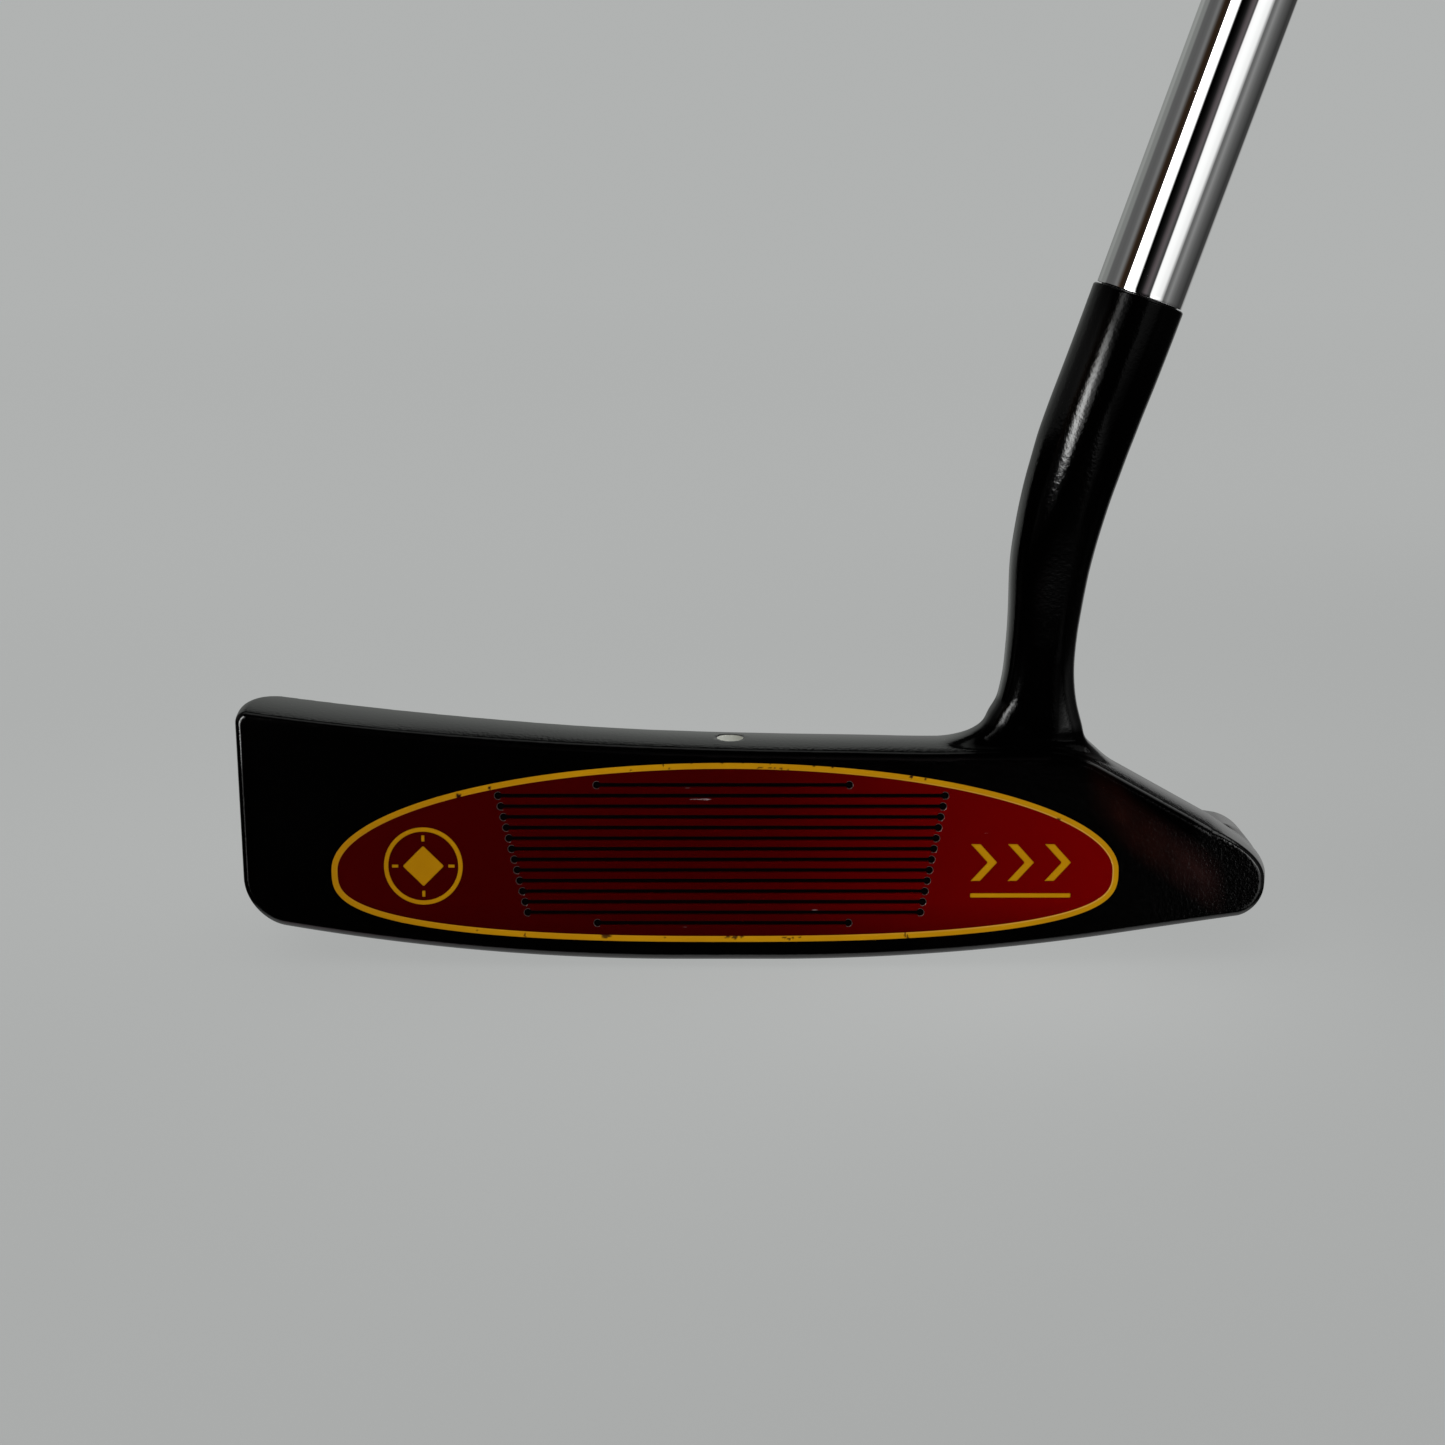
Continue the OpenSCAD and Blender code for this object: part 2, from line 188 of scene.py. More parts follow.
# neck table: z, centre x, half width x (level slice), centre y, half depth y, squareness
NECK = np.array([
 (16.0, 32.0, 9.0, -6.15, 3.15, 3.2), (22.0, 32.0, 9.0, -6.15, 3.15, 3.2), (23.6, 32.2, 8.4, -6.15, 3.15, 3.2),
 (24.4, 32.45, 7.45, -6.15, 3.15, 3.2), (25.06, 32.95, 6.55, -6.15, 3.17, 3.2), (25.9, 33.6, 5.72, -6.16, 3.2, 3.2),
 (26.8, 33.8, 5.28, -6.18, 3.25, 3.1), (27.6, 33.85, 5.0, -6.22, 3.29, 3.05), (28.56, 34.03, 4.57, -6.25, 3.33, 3.0),
 (30.3, 34.16, 4.15, -6.35, 3.42, 2.9), (32.0, 34.23, 3.925, -6.48, 3.52, 2.8), (33.8, 34.30, 3.84, -6.65, 3.63, 2.7),
 (35.5, 34.39, 3.835, -6.85, 3.74, 2.65), (37.2, 34.49, 3.87, -7.1, 3.86, 2.6), (38.9, 34.6, 3.96, -7.36, 3.98, 2.55),
 (40.6, 34.7, 4.075, -7.65, 4.1, 2.5), (42.3, 34.8, 4.21, -7.96, 4.22, 2.45), (44.0, 34.93, 4.35, -8.28, 4.34, 2.4),
 (45.6, 35.12, 4.475, -8.58, 4.45, 2.36), (47.3, 35.38, 4.585, -8.9, 4.55, 2.3), (49.0, 35.69, 4.69, -9.22, 4.64, 2.25),
 (50.6, 36.01, 4.79, -9.5, 4.72, 2.2), (52.3, 36.39, 4.89, -9.79, 4.79, 2.16), (53.9, 36.79, 4.99, -10.05, 4.85, 2.12),
 (55.5, 37.22, 5.06, -10.3, 4.9, 2.09), (57.2, 37.69, 5.13, -10.55, 4.94, 2.06), (58.8, 38.156, 5.211, -10.75, 4.97, 2.03),
 (60.4, 38.66, 5.245, -10.93, 4.99, 2.0), (62.0, 39.2, 5.27, -11.08, 5.0, 2.0), (64.0, 39.9, 5.288, -11.24, 5.0, 2.0),
 (66.0, 40.6, 5.288, -11.36, 5.0, 2.0), (68.0, 41.3, 5.288, -11.44, 5.0, 2.0), (70.0, 41.995, 5.288, -11.485, 5.0, 2.0),
 (72.0, 42.683, 5.288, -11.5, 5.0, 2.0), (76.0, 44.061, 5.288, -11.5, 5.0, 2.0), (82.0, 46.127, 5.288, -11.5, 5.0, 2.0),
])
def _spline(xk, yk, n=2400):
    """natural cubic spline sampled densely, for fast even lookup"""
    m = len(xk); h = np.diff(xk); A = np.zeros((m, m)); r = np.zeros(m)
    A[0, 0] = A[-1, -1] = 1
    for i in range(1, m - 1):
        A[i, i - 1] = h[i - 1]; A[i, i] = 2 * (h[i - 1] + h[i]); A[i, i + 1] = h[i]
        r[i] = 6 * ((yk[i + 1] - yk[i]) / h[i] - (yk[i] - yk[i - 1]) / h[i - 1])
    M = np.linalg.solve(A, r)
    x = np.linspace(xk[0], xk[-1], n); i = np.clip(np.searchsorted(xk, x) - 1, 0, m - 2)
    a = xk[i + 1] - x; b = x - xk[i]
    y = (M[i] * a ** 3 + M[i + 1] * b ** 3) / (6 * h[i]) + (yk[i] / h[i] - M[i] * h[i] / 6) * a + (yk[i + 1] / h[i] - M[i + 1] * h[i] / 6) * b
    k = np.ones(41) / 41; pad = np.concatenate([2 * y[0] - y[20:0:-1], y, 2 * y[-1] - y[-2:-22:-1]])
    return x, np.convolve(pad, k, "valid")
NT = [_spline(NECK[:, 0], NECK[:, j]) for j in range(1, 6)]
def neck(x, y, z):
    cx, ax, cy, ay, n = [np.interp(z, t[0], t[1]) for t in NT]
    p = np.abs((x - cx) / ax); q = np.abs((y - cy) / ay)
    rad = (p ** n + q ** n + 1e-12) ** (1 / n)
    lean = np.interp(z, [30, 60], [1.0, 0.9455])
    return np.maximum((rad - 1) * np.minimum(ax, ay) * lean, 17.5 - z)

def parts(x, y, z, face_too=True):
    yp = y - FRONT
    zt, s = ztop(x)
    T = 8.0 + 2.0 * sstep(-x, 8, 48)
    u = (yp - zt * TL) / T
    top = (z - zt - crown(u) * (1 - 0.2 * sstep(-x, 22, 46))) / np.sqrt(1 + s * s + 0.06)
    b1 = (yp - (zt * TL + T) - (zt - z) * 0.05) * 0.9987
    # plan: toe, heel and back
    lift = sstep(z, 17.0, 21.5) * sstep(-x, 30, 40)
    w = np.clip((yp - 2.5) / 8.8, 0, 0.999)
    toe_x = -54.56 + 0.024 * (26 - z) - 0.25 * sstep(yp, 0.5, 6) + 3.6 * (1 - np.sqrt(1 - w * w)) * lift
    toe = toe_x - x
    bulge = 1.95 * np.sin(np.clip((yp - 0.8) / 25.0, 0, 1) * math.pi / 1.0)
    heel = x - (59.30 + bulge)
    bk = y - (14.5 - 0.00012 * x * x)
    side = np.maximum(rmax(toe, bk, 9.0), rmax(heel, bk, 8.5))
    # tops
    shelf = (z - (11.3 - 0.14 * (yp - 9.5))) * 0.99
    toe_top = (z - (19.6 - 0.28 * (yp - 9.5))) * 0.963
    toe_in = (x - (-38.5 - 0.35 * (z - 11))) * 0.944
    heel_top = (z - (13.81 - 0.1635 * (x - 55) - 0.05 * (yp - 13) - 0.02 * np.clip(yp - 15, 0, None) ** 2)) * 0.985
    heel_in = ((49.11 + 1.243 * (z - 11)) - x) * 0.625
    U = rmax(top, b1, 0.8)
    U = rmin(U, shelf, 2.4)
    U = rmin(U, rmax(toe_top, toe_in, 1.2), 2.2)
    U = rmin(U, rmax(heel_top, heel_in, 0.7), 0.9)
    r_top = 1.35 + (5.1 + 0.6 * sstep(yp, 2, 8) - 5.0 * sstep(yp, 8, 13)) * sstep(x, 45, 53)
    body = rmax(U, side, r_top)
    body = rmax(body, 0.7842 * x + 0.6204 * z - 53.81 - 3.0 * (1 - sstep(yp, 4, 11)), 1.22)
    sole = (sole_z(x, y) - z) * 0.985
    body = rmax(body, sole, 3.1 + 1.3 * sstep(-x, 20, 40) + 0.1 * sstep(-x, 44, 52) - 1.0 * sstep(x, 40, 50) + 1.0 * sstep(x, 52, 58))
    if not face_too:
        return body
    return rmax(body, -yp * CL + z * SL, 0.62 + 0.22 * sstep(-z, -9, -3) + 0.1 * sstep(-x, 50, 53))
DOT = np.array([0.0, FRONT + 5.4, 0.0])
DOT[2] = float(ztop(np.array([0.0]))[0][0] + crown(np.array([(5.4 - 23.8 * TL) / 8.0]))[0])
DOT_R, DOT_D = 1.6, 0.42
DOT_S = (DOT_R ** 2 + DOT_D ** 2) / (2 * DOT_D)
def field(P):
    x, y, z = P[:, 0], P[:, 1], P[:, 2]
    body = parts(x, y, z)
    f = rmin(body, neck(x, y, z), 0.9)
    sph = np.sqrt((x - DOT[0]) ** 2 + (y - DOT[1]) ** 2 + (z - DOT[2] - DOT_S + DOT_D) ** 2) - DOT_S
    return rmax(f, -sph, 0.06)
def chunked(fn, P, n=300000):
    return np.concatenate([fn(P[i:i + n]) for i in range(0, len(P), n)]) if len(P) > n else fn(P)
def grad(P, e=0.004):
    g = np.empty_like(P)
    for a in range(3):
        d = np.zeros(3); d[a] = e
        g[:, a] = (chunked(field, P + d) - chunked(field, P - d)) / (2 * e)
    return g

def lines(stops):
    """Grid lines along one axis: stops are (position, spacing from here on)."""
    out = [stops[0][0]]
    for (a, h), (b, _) in zip(stops, stops[1:]):
        n = max(1, int(round((b - a) / h)))
        out += list(a + (b - a) * np.arange(1, n + 1) / n)
    return np.array(out)
def surface(axes):
    n = np.array([len(a) for a in axes])
    # coarse look first
    k = 6
    nc = (n - 1) // k + 2
    full = []
    for a in range(3):
        extra = (nc[a] - 1) * k + 1 - n[a]; step = axes[a][-1] - axes[a][-2]
        full.append(np.concatenate([axes[a], axes[a][-1] + step * np.arange(1, extra + 1)]))
    cx = [full[a][::k] for a in range(3)]
    gap = np.stack(np.meshgrid(*[np.maximum(np.diff(c, append=2 * c[-1] - c[-2]), np.diff(c, prepend=2 * c[0] - c[1])) for c in cx], indexing="ij"), -1)
    reach = np.linalg.norm(gap, axis=-1) * 1.02
    G = np.stack(np.meshgrid(*cx, indexing="ij"), -1).reshape(-1, 3)
    C = chunked(field, G).reshape(nc)
    near = np.abs(C) < reach
    # a coarse cell is live if any corner is near
    live = np.zeros(nc - 1, bool)
    for dx in (0, 1):
        for dy in (0, 1):
            for dz in (0, 1):
                live |= near[dx:dx + nc[0] - 1, dy:dy + nc[1] - 1, dz:dz + nc[2] - 1]
    N = (nc - 1) * k + 1
    F = np.repeat(np.repeat(np.repeat(np.where(C[:-1, :-1, :-1] < 0, -1.0, 1.0), k, 0), k, 1), k, 2).astype(np.float32)
    F = np.pad(F, ((0, 1), (0, 1), (0, 1)), mode="edge")
    M = np.zeros(F.shape, bool)
    L = np.repeat(np.repeat(np.repeat(live, k, 0), k, 1), k, 2)
    for dx in (0, 1):
        for dy in (0, 1):
            for dz in (0, 1):
                M[dx:dx + L.shape[0], dy:dy + L.shape[1], dz:dz + L.shape[2]] |= L
    idx = np.argwhere(M)
    P = np.stack([full[a][idx[:, a]] for a in range(3)], 1)
    F[M] = chunked(field, P)
    # surface nets
    S = F < 0
    V = np.array([F.shape[0] - 1, F.shape[1] - 1, F.shape[2] - 1])
    cnt = np.zeros(V, np.int8)
    for dx in (0, 1):
        for dy in (0, 1):
            for dz in (0, 1):
                cnt += S[dx:dx + V[0], dy:dy + V[1], dz:dz + V[2]]
    act = (cnt > 0) & (cnt < 8)
    cell = np.argwhere(act)
    ids = -np.ones(V, np.int64); ids[act] = np.arange(len(cell))
    acc = np.zeros((len(cell), 3)); num = np.zeros(len(cell))
    corners = [(a, b, c) for a in (0, 1) for b in (0, 1) for c in (0, 1)]
    fv = {c: F[cell[:, 0] + c[0], cell[:, 1] + c[1], cell[:, 2] + c[2]].astype(float) for c in corners}
    for c in corners:
        for a in range(3):
            if c[a]: continue
            d = list(c); d[a] = 1; d = tuple(d)
            f0, f1 = fv[c], fv[d]; x = (f0 < 0) != (f1 < 0)
            t = np.where(x, f0 / np.where(x, f0 - f1, 1), 0)
            p = np.array(c, float) + 0 * t[:, None]; p[:, a] += t
            acc[x] += p[x]; num[x] += 1
    frac = acc / num[:, None]
    vert = np.stack([full[a][cell[:, a]] + frac[:, a] * (full[a][cell[:, a] + 1] - full[a][cell[:, a]]) for a in range(3)], 1)
    quads = []
    for a in range(3):
        b, c = (a + 1) % 3, (a + 2) % 3
        sl0 = [slice(0, None)] * 3; sl1 = [slice(0, None)] * 3
        sl0[a] = slice(0, -1); sl1[a] = slice(1, None)
        e0, e1 = S[tuple(sl0)], S[tuple(sl1)]
        X = np.argwhere(e0 != e1)
        X = X[(X[:, b] > 0) & (X[:, c] > 0) & (X[:, b] < F.shape[b] - 1) & (X[:, c] < F.shape[c] - 1)]
        inside0 = S[X[:, 0], X[:, 1], X[:, 2]]
        q = []
        for db, dc in ((-1, -1), (0, -1), (0, 0), (-1, 0)):
            Y = X.copy(); Y[:, b] += db; Y[:, c] += dc
            q.append(ids[Y[:, 0], Y[:, 1], Y[:, 2]])
        q = np.stack(q, 1)
        q[~inside0] = q[~inside0][:, ::-1]
        quads.append(q)
    return vert, np.concatenate(quads)

def project(P, it=4):
    for _ in range(it):
        f = chunked(field, P); g = grad(P)
        P = P - (f / np.maximum((g * g).sum(1), 0.15))[:, None] * g
    return P

# ------------------------------------------------------------------ face frame
def face_pt(P, out):
    """(x along the blade, up the face) and height out of the face, to the row frame, mm."""
    P = np.asarray(P, float); out = np.broadcast_to(np.asarray(out, float), P.shape[:1])
    return np.stack([P[:, 0], FRONT + P[:, 1] * SL - out * CL, P[:, 1] * CL + out * SL], 1)
FACE_N = np.array([0, -CL, SL])
INS = dict(cx=-0.62, cz=10.72, a=43.7, up=12.1, dn=8.15)
def ins_outline(w, n=360):
    a = np.arange(n) * 2 * math.pi / n
    c, s = np.cos(a), np.sin(a)
    lo = s < 0
    x = np.where(lo, np.sign(c) * np.abs(c) ** 0.8, c) * (INS["a"] - w)
    z = np.where(lo, -(INS["dn"] - w) * np.abs(s) ** 0.667, (INS["up"] - w) * s)
    P = np.stack([INS["cx"] + x, INS["cz"] + z], 1)
    # even spacing along the curve
    Q = np.vstack([P, P[:1]]); d = np.concatenate([[0], np.cumsum(np.linalg.norm(np.diff(Q, axis=0), axis=1))])
    t = np.linspace(0, d[-1], n, endpoint=False)
    return np.stack([np.interp(t, d, Q[:, 0]), np.interp(t, d, Q[:, 1])], 1)
def offset_in(P, w):
    t = np.roll(P, -1, 0) - np.roll(P, 1, 0)
    t /= np.linalg.norm(t, axis=1)[:, None]
    return P + w * np.stack([-t[:, 1], t[:, 0]], 1)      # the outline runs anticlockwise, so left is inwards

# ------------------------------------------------------------------ head
def make_head(h):
    v, q = surface([lines([(-56, 0.32 * h), (-51.5, 0.6 * h), (-46, 1.25 * h), (22, 0.8 * h), (44, 0.6 * h), (52, 0.42 * h), (64, 1)]),
                    lines([(-18.5, 0.9 * h), (-12.9, 0.36 * h), (-9.5, 0.62 * h), (-2.0, 0.9 * h), (16.5, 1)]),
                    lines([(-1.2, 0.5 * h), (2.4, 0.7 * h), (18, 0.5 * h), (30, 1.0 * h), (80, 1)])])
    v = project(v, 4)
    g = grad(v)
    nrm = g / np.maximum(np.linalg.norm(g, axis=1), 1e-9)[:, None]
    # take the flat of the face out, to be filled by clean triangles round the pocket
    yp = v[:, 1] - FRONT
    F = -yp * CL + v[:, 2] * SL
    b = chunked(lambda P: parts(P[:, 0], P[:, 1], P[:, 2], face_too=False), v)
    on = (np.abs(F) < 2e-3) & (b < -1.0) & (chunked(lambda P: neck(P[:, 0], P[:, 1], P[:, 2]), v) > 1.5)
    gone = on[q].all(1)
    keep = q[~gone]
    s = (v - JOINT) @ AX
    # boundary of the hole
    def bound(faces_out):
        e = np.concatenate([faces_out[:, [0, 1]], faces_out[:, [1, 2]], faces_out[:, [2, 3]], faces_out[:, [3, 0]]])
        es = {(int(a), int(c)) for a, c in e}
        nxt = {}
        for a, c in es:
            if (c, a) not in es:
                nxt.setdefault(a, []).append(c)
        loops = []
        while nxt:
            a0 = next(iter(nxt)); loop = [a0]; a = a0
            while True:
                c = nxt[a].pop()
                if not nxt[a]: del nxt[a]
                if c == a0: break
                loop.append(c); a = c
            loops.append(loop)
        return sorted(loops, key=len)
    loops = bound(q[gone])
    loop = loops[-1]
    ring2 = np.stack([v[loop, 0], v[loop, 2] / CL], 1)        # on the plane, up the face = z / cos
    pocket = ins_outline(0)
    P2, T2 = cdt(ring2, [pocket])
    flat_v = face_pt(P2, 0.0)
    # the small patches that the largest loop does not cover are put back
    back = [l for l in loops[:-1]]
    chunks = []
    # neck: cut just under the shoulder plane
    cut = -0.45
    low = (s[keep] < cut)
    full = keep[low.all(1)]
    cross = keep[low.any(1) & ~low.all(1)]
    extra_v, extra_n, polys, key = [], [], {3: [], 4: [], 5: []}, {}
    base = len(v)
    for f in cross:
        out = []
        for i in range(4):
            a, c = int(f[i]), int(f[(i + 1) % 4])
            if s[a] < cut: out.append(a)
            if (s[a] < cut) != (s[c] < cut):
                kk = (min(a, c), max(a, c))
                if kk not in key:
                    t = (cut - s[a]) / (s[c] - s[a])
                    key[kk] = base + len(extra_v)
                    extra_v.append(v[a] + t * (v[c] - v[a])); extra_n.append(nrm[a])
                out.append(key[kk])
        for i in range(1, len(out) - 1):
            polys[3].append([out[0], out[i], out[i + 1]])
    ev = np.array(extra_v)
    d = ev - JOINT; sa = d @ AX; rad = d - sa[:, None] * AX
    rl = np.linalg.norm(rad, axis=1)[:, None]
    ev = JOINT + cut * AX + rad / rl * 5.0
    en = rad / rl
    allv = np.vstack([v, ev]); alln = np.vstack([nrm, en])
    # rings above the cut: side, small chamfer, flat shoulder, post
    ex = np.array([AX[2], 0, -AX[0]]); ey = np.array([0, 1.0, 0])
    ang = np.arctan2(en @ ey, en @ ex); order = np.argsort(ang)
    m = 128; th = np.linspace(-math.pi, math.pi, m, endpoint=False)
    first = len(allv)
    def circ(r, sh): return JOINT + sh * AX + r * (np.cos(th)[:, None] * ex + np.sin(th)[:, None] * ey)
    ringn = np.cos(th)[:, None] * ex + np.sin(th)[:, None] * ey
    allv = np.vstack([allv, circ(5.0, -0.28)]); alln = np.vstack([alln, ringn])
    # zip the cut loop to the even ring
    A = [base + int(i) for i in order]; aa = list(ang[order]); B = [first + i for i in range(m)]; bb = list(th)
    tri = []; i = j = 0; na, nb = len(A), m
    while i < na or j < nb:
        ta = aa[i % na] + (2 * math.pi if i >= na else 0); tb = bb[j % nb] + (2 * math.pi if j >= nb else 0)
        na_ = aa[(i + 1) % na] + (2 * math.pi if i + 1 >= na else 0); nb_ = bb[(j + 1) % nb] + (2 * math.pi if j + 1 >= nb else 0)
        if j >= nb or (i < na and na_ <= nb_):
            tri.append([A[i % na], A[(i + 1) % na], B[j % nb]]); i += 1
        else:
            tri.append([A[i % na], B[(j + 1) % nb], B[j % nb]]); j += 1
    used = np.unique(np.concatenate([full.ravel(), np.array(polys[3]).ravel(), np.array(tri).ravel()]))
    remap = -np.ones(len(allv), int); remap[used] = np.arange(len(used))
    chunks.append((allv[used], [remap[full], remap[np.array(polys[3])], remap[np.array(tri)]], alln[used], 0))
    # shoulder and post
    prof = [(5.0, -0.28), (4.985, -0.2), (4.93, -0.1), (4.84, -0.03), (4.74, 0.0), (4.1, 0.0), (4.1, 0.0), (4.1, 27.5), (3.9, 28.0), (0.02, 28.0)]
    pn = [(1, 0), (0.96, 0.28), (0.8, 0.6), (0.45, 0.89), (0, 1), (0, 1), (1, 0), (1, 0), (0.3, 0.95), (0, 1)]
    V = np.vstack([circ(r, sh) for r, sh in prof])
    N = np.vstack([ringn * a + AX * b for a, b in pn])
    chunks.append((V, [grid_faces(len(prof), m)], N, 0))
    # face flat, pocket
    chunks.append((flat_v, [T2], np.tile(FACE_N, (len(flat_v), 1)), 0))
    n = len(pocket); nin = offset_in(pocket, 1.0) - pocket
    wall = np.vstack([face_pt(pocket, 0), face_pt(pocket, -3.0)])
    wn = np.stack([nin[:, 0], nin[:, 1] * SL, nin[:, 1] * CL], 1)
    chunks.append((wall, [grid_faces(2, n)], np.vstack([wn, wn]), 0))
    Pf, Tf = cdt(pocket, [])
    chunks.append((face_pt(Pf, -3.0), [Tf], np.tile(FACE_N, (len(Pf), 1)), 0))
    for l in back:
        a = np.array(l)
        t = np.array([[0, i, i + 1] for i in range(1, len(a) - 1)])
        chunks.append((v[a], [t], nrm[a], 0))
    return chunks, (len(full) * 2 + len(T2))

# ------------------------------------------------------------------ materials
class Mat:
    """A small node-graph writer; inputs take numbers, tuples or sockets."""
    def __init__(self, name):
        self.m = bpy.data.materials.new(name)
        self.m.use_nodes = True
        self.t = self.m.node_tree
        self.t.nodes.clear()
        self.out = self.t.nodes.new("ShaderNodeOutputMaterial")
        self.co = self.t.nodes.new("ShaderNodeTexCoord").outputs["Object"]
    def n(self, kind, _props=None, **ins):
        nd = self.t.nodes.new("ShaderNode" + kind)
        for k, v in (_props or {}).items():
            setattr(nd, k, v)
        for k, v in ins.items():
            key = int(k[1:]) if k[0] == "i" and k[1:].isdigit() else k.replace("_", " ")
            self.put(nd.inputs[key], v)
        return nd
    def put(self, sock, v):
        if isinstance(v, bpy.types.NodeSocket):
            self.t.links.new(v, sock)
        else:
            sock.default_value = v
    def math(self, op, a, b=0.0, c=None, clamp=False):
        nd = self.t.nodes.new("ShaderNodeMath"); nd.operation = op; nd.use_clamp = clamp
        self.put(nd.inputs[0], a); self.put(nd.inputs[1], b)
        if c is not None: self.put(nd.inputs[2], c)
        return nd.outputs[0]
    def noise(self, scale, detail=2.0, rough=0.5, vec=None, dist=0.0):
        nd = self.n("TexNoise", Vector=vec if vec is not None else self.co, Scale=scale, Detail=detail, Roughness=rough, Distortion=dist)
        return nd.outputs["Fac"]
    def scaled(self, s):
        return self.n("VectorMath", {"operation": "MULTIPLY"}, i0=self.co, i1=s).outputs[0]
    def ramp(self, fac, stops, mode="LINEAR"):
        nd = self.t.nodes.new("ShaderNodeValToRGB"); self.put(nd.inputs[0], fac)
        cr = nd.color_ramp; cr.interpolation = mode
        while len(cr.elements) < len(stops): cr.elements.new(0.5)
        for e, (p, c) in zip(cr.elements, stops):
            e.position = p; e.color = (c, c, c, 1) if isinstance(c, (int, float)) else (*c, 1)
        return nd.outputs[0]
    def remap(self, v, a, b, c, d):
        return self.n("MapRange", Value=v, From_Min=a, From_Max=b, To_Min=c, To_Max=d).outputs[0]
    def mix(self, fac, a, b):
        nd = self.t.nodes.new("ShaderNodeMix"); nd.data_type = "RGBA"
        self.put(nd.inputs[0], fac)
        for i, v in ((6, a), (7, b)):
            self.put(nd.inputs[i], v if isinstance(v, bpy.types.NodeSocket) else (*v, 1))
        return nd.outputs[2]
    def attr(self, name):
        return self.n("Attribute", {"attribute_name": name}).outputs["Fac"]
    def bump(self, height, strength, dist, normal=None):
        nd = self.n("Bump", Strength=strength, Distance=dist, Height=height)
        if normal is not None: self.put(nd.inputs["Normal"], normal)
        return nd.outputs[0]
    def done(self, **ins):
        p = self.n("BsdfPrincipled", **ins)
        self.t.links.new(p.outputs[0], self.out.inputs[0])
        return self.m
def rgb(r, g, b):
    """sRGB 0-255 to linear"""
    f = lambda c: c / 12.92 if c <= 0.04045 else ((c + 0.055) / 1.055) ** 2.4
    return tuple(f(v / 255) for v in (r, g, b))

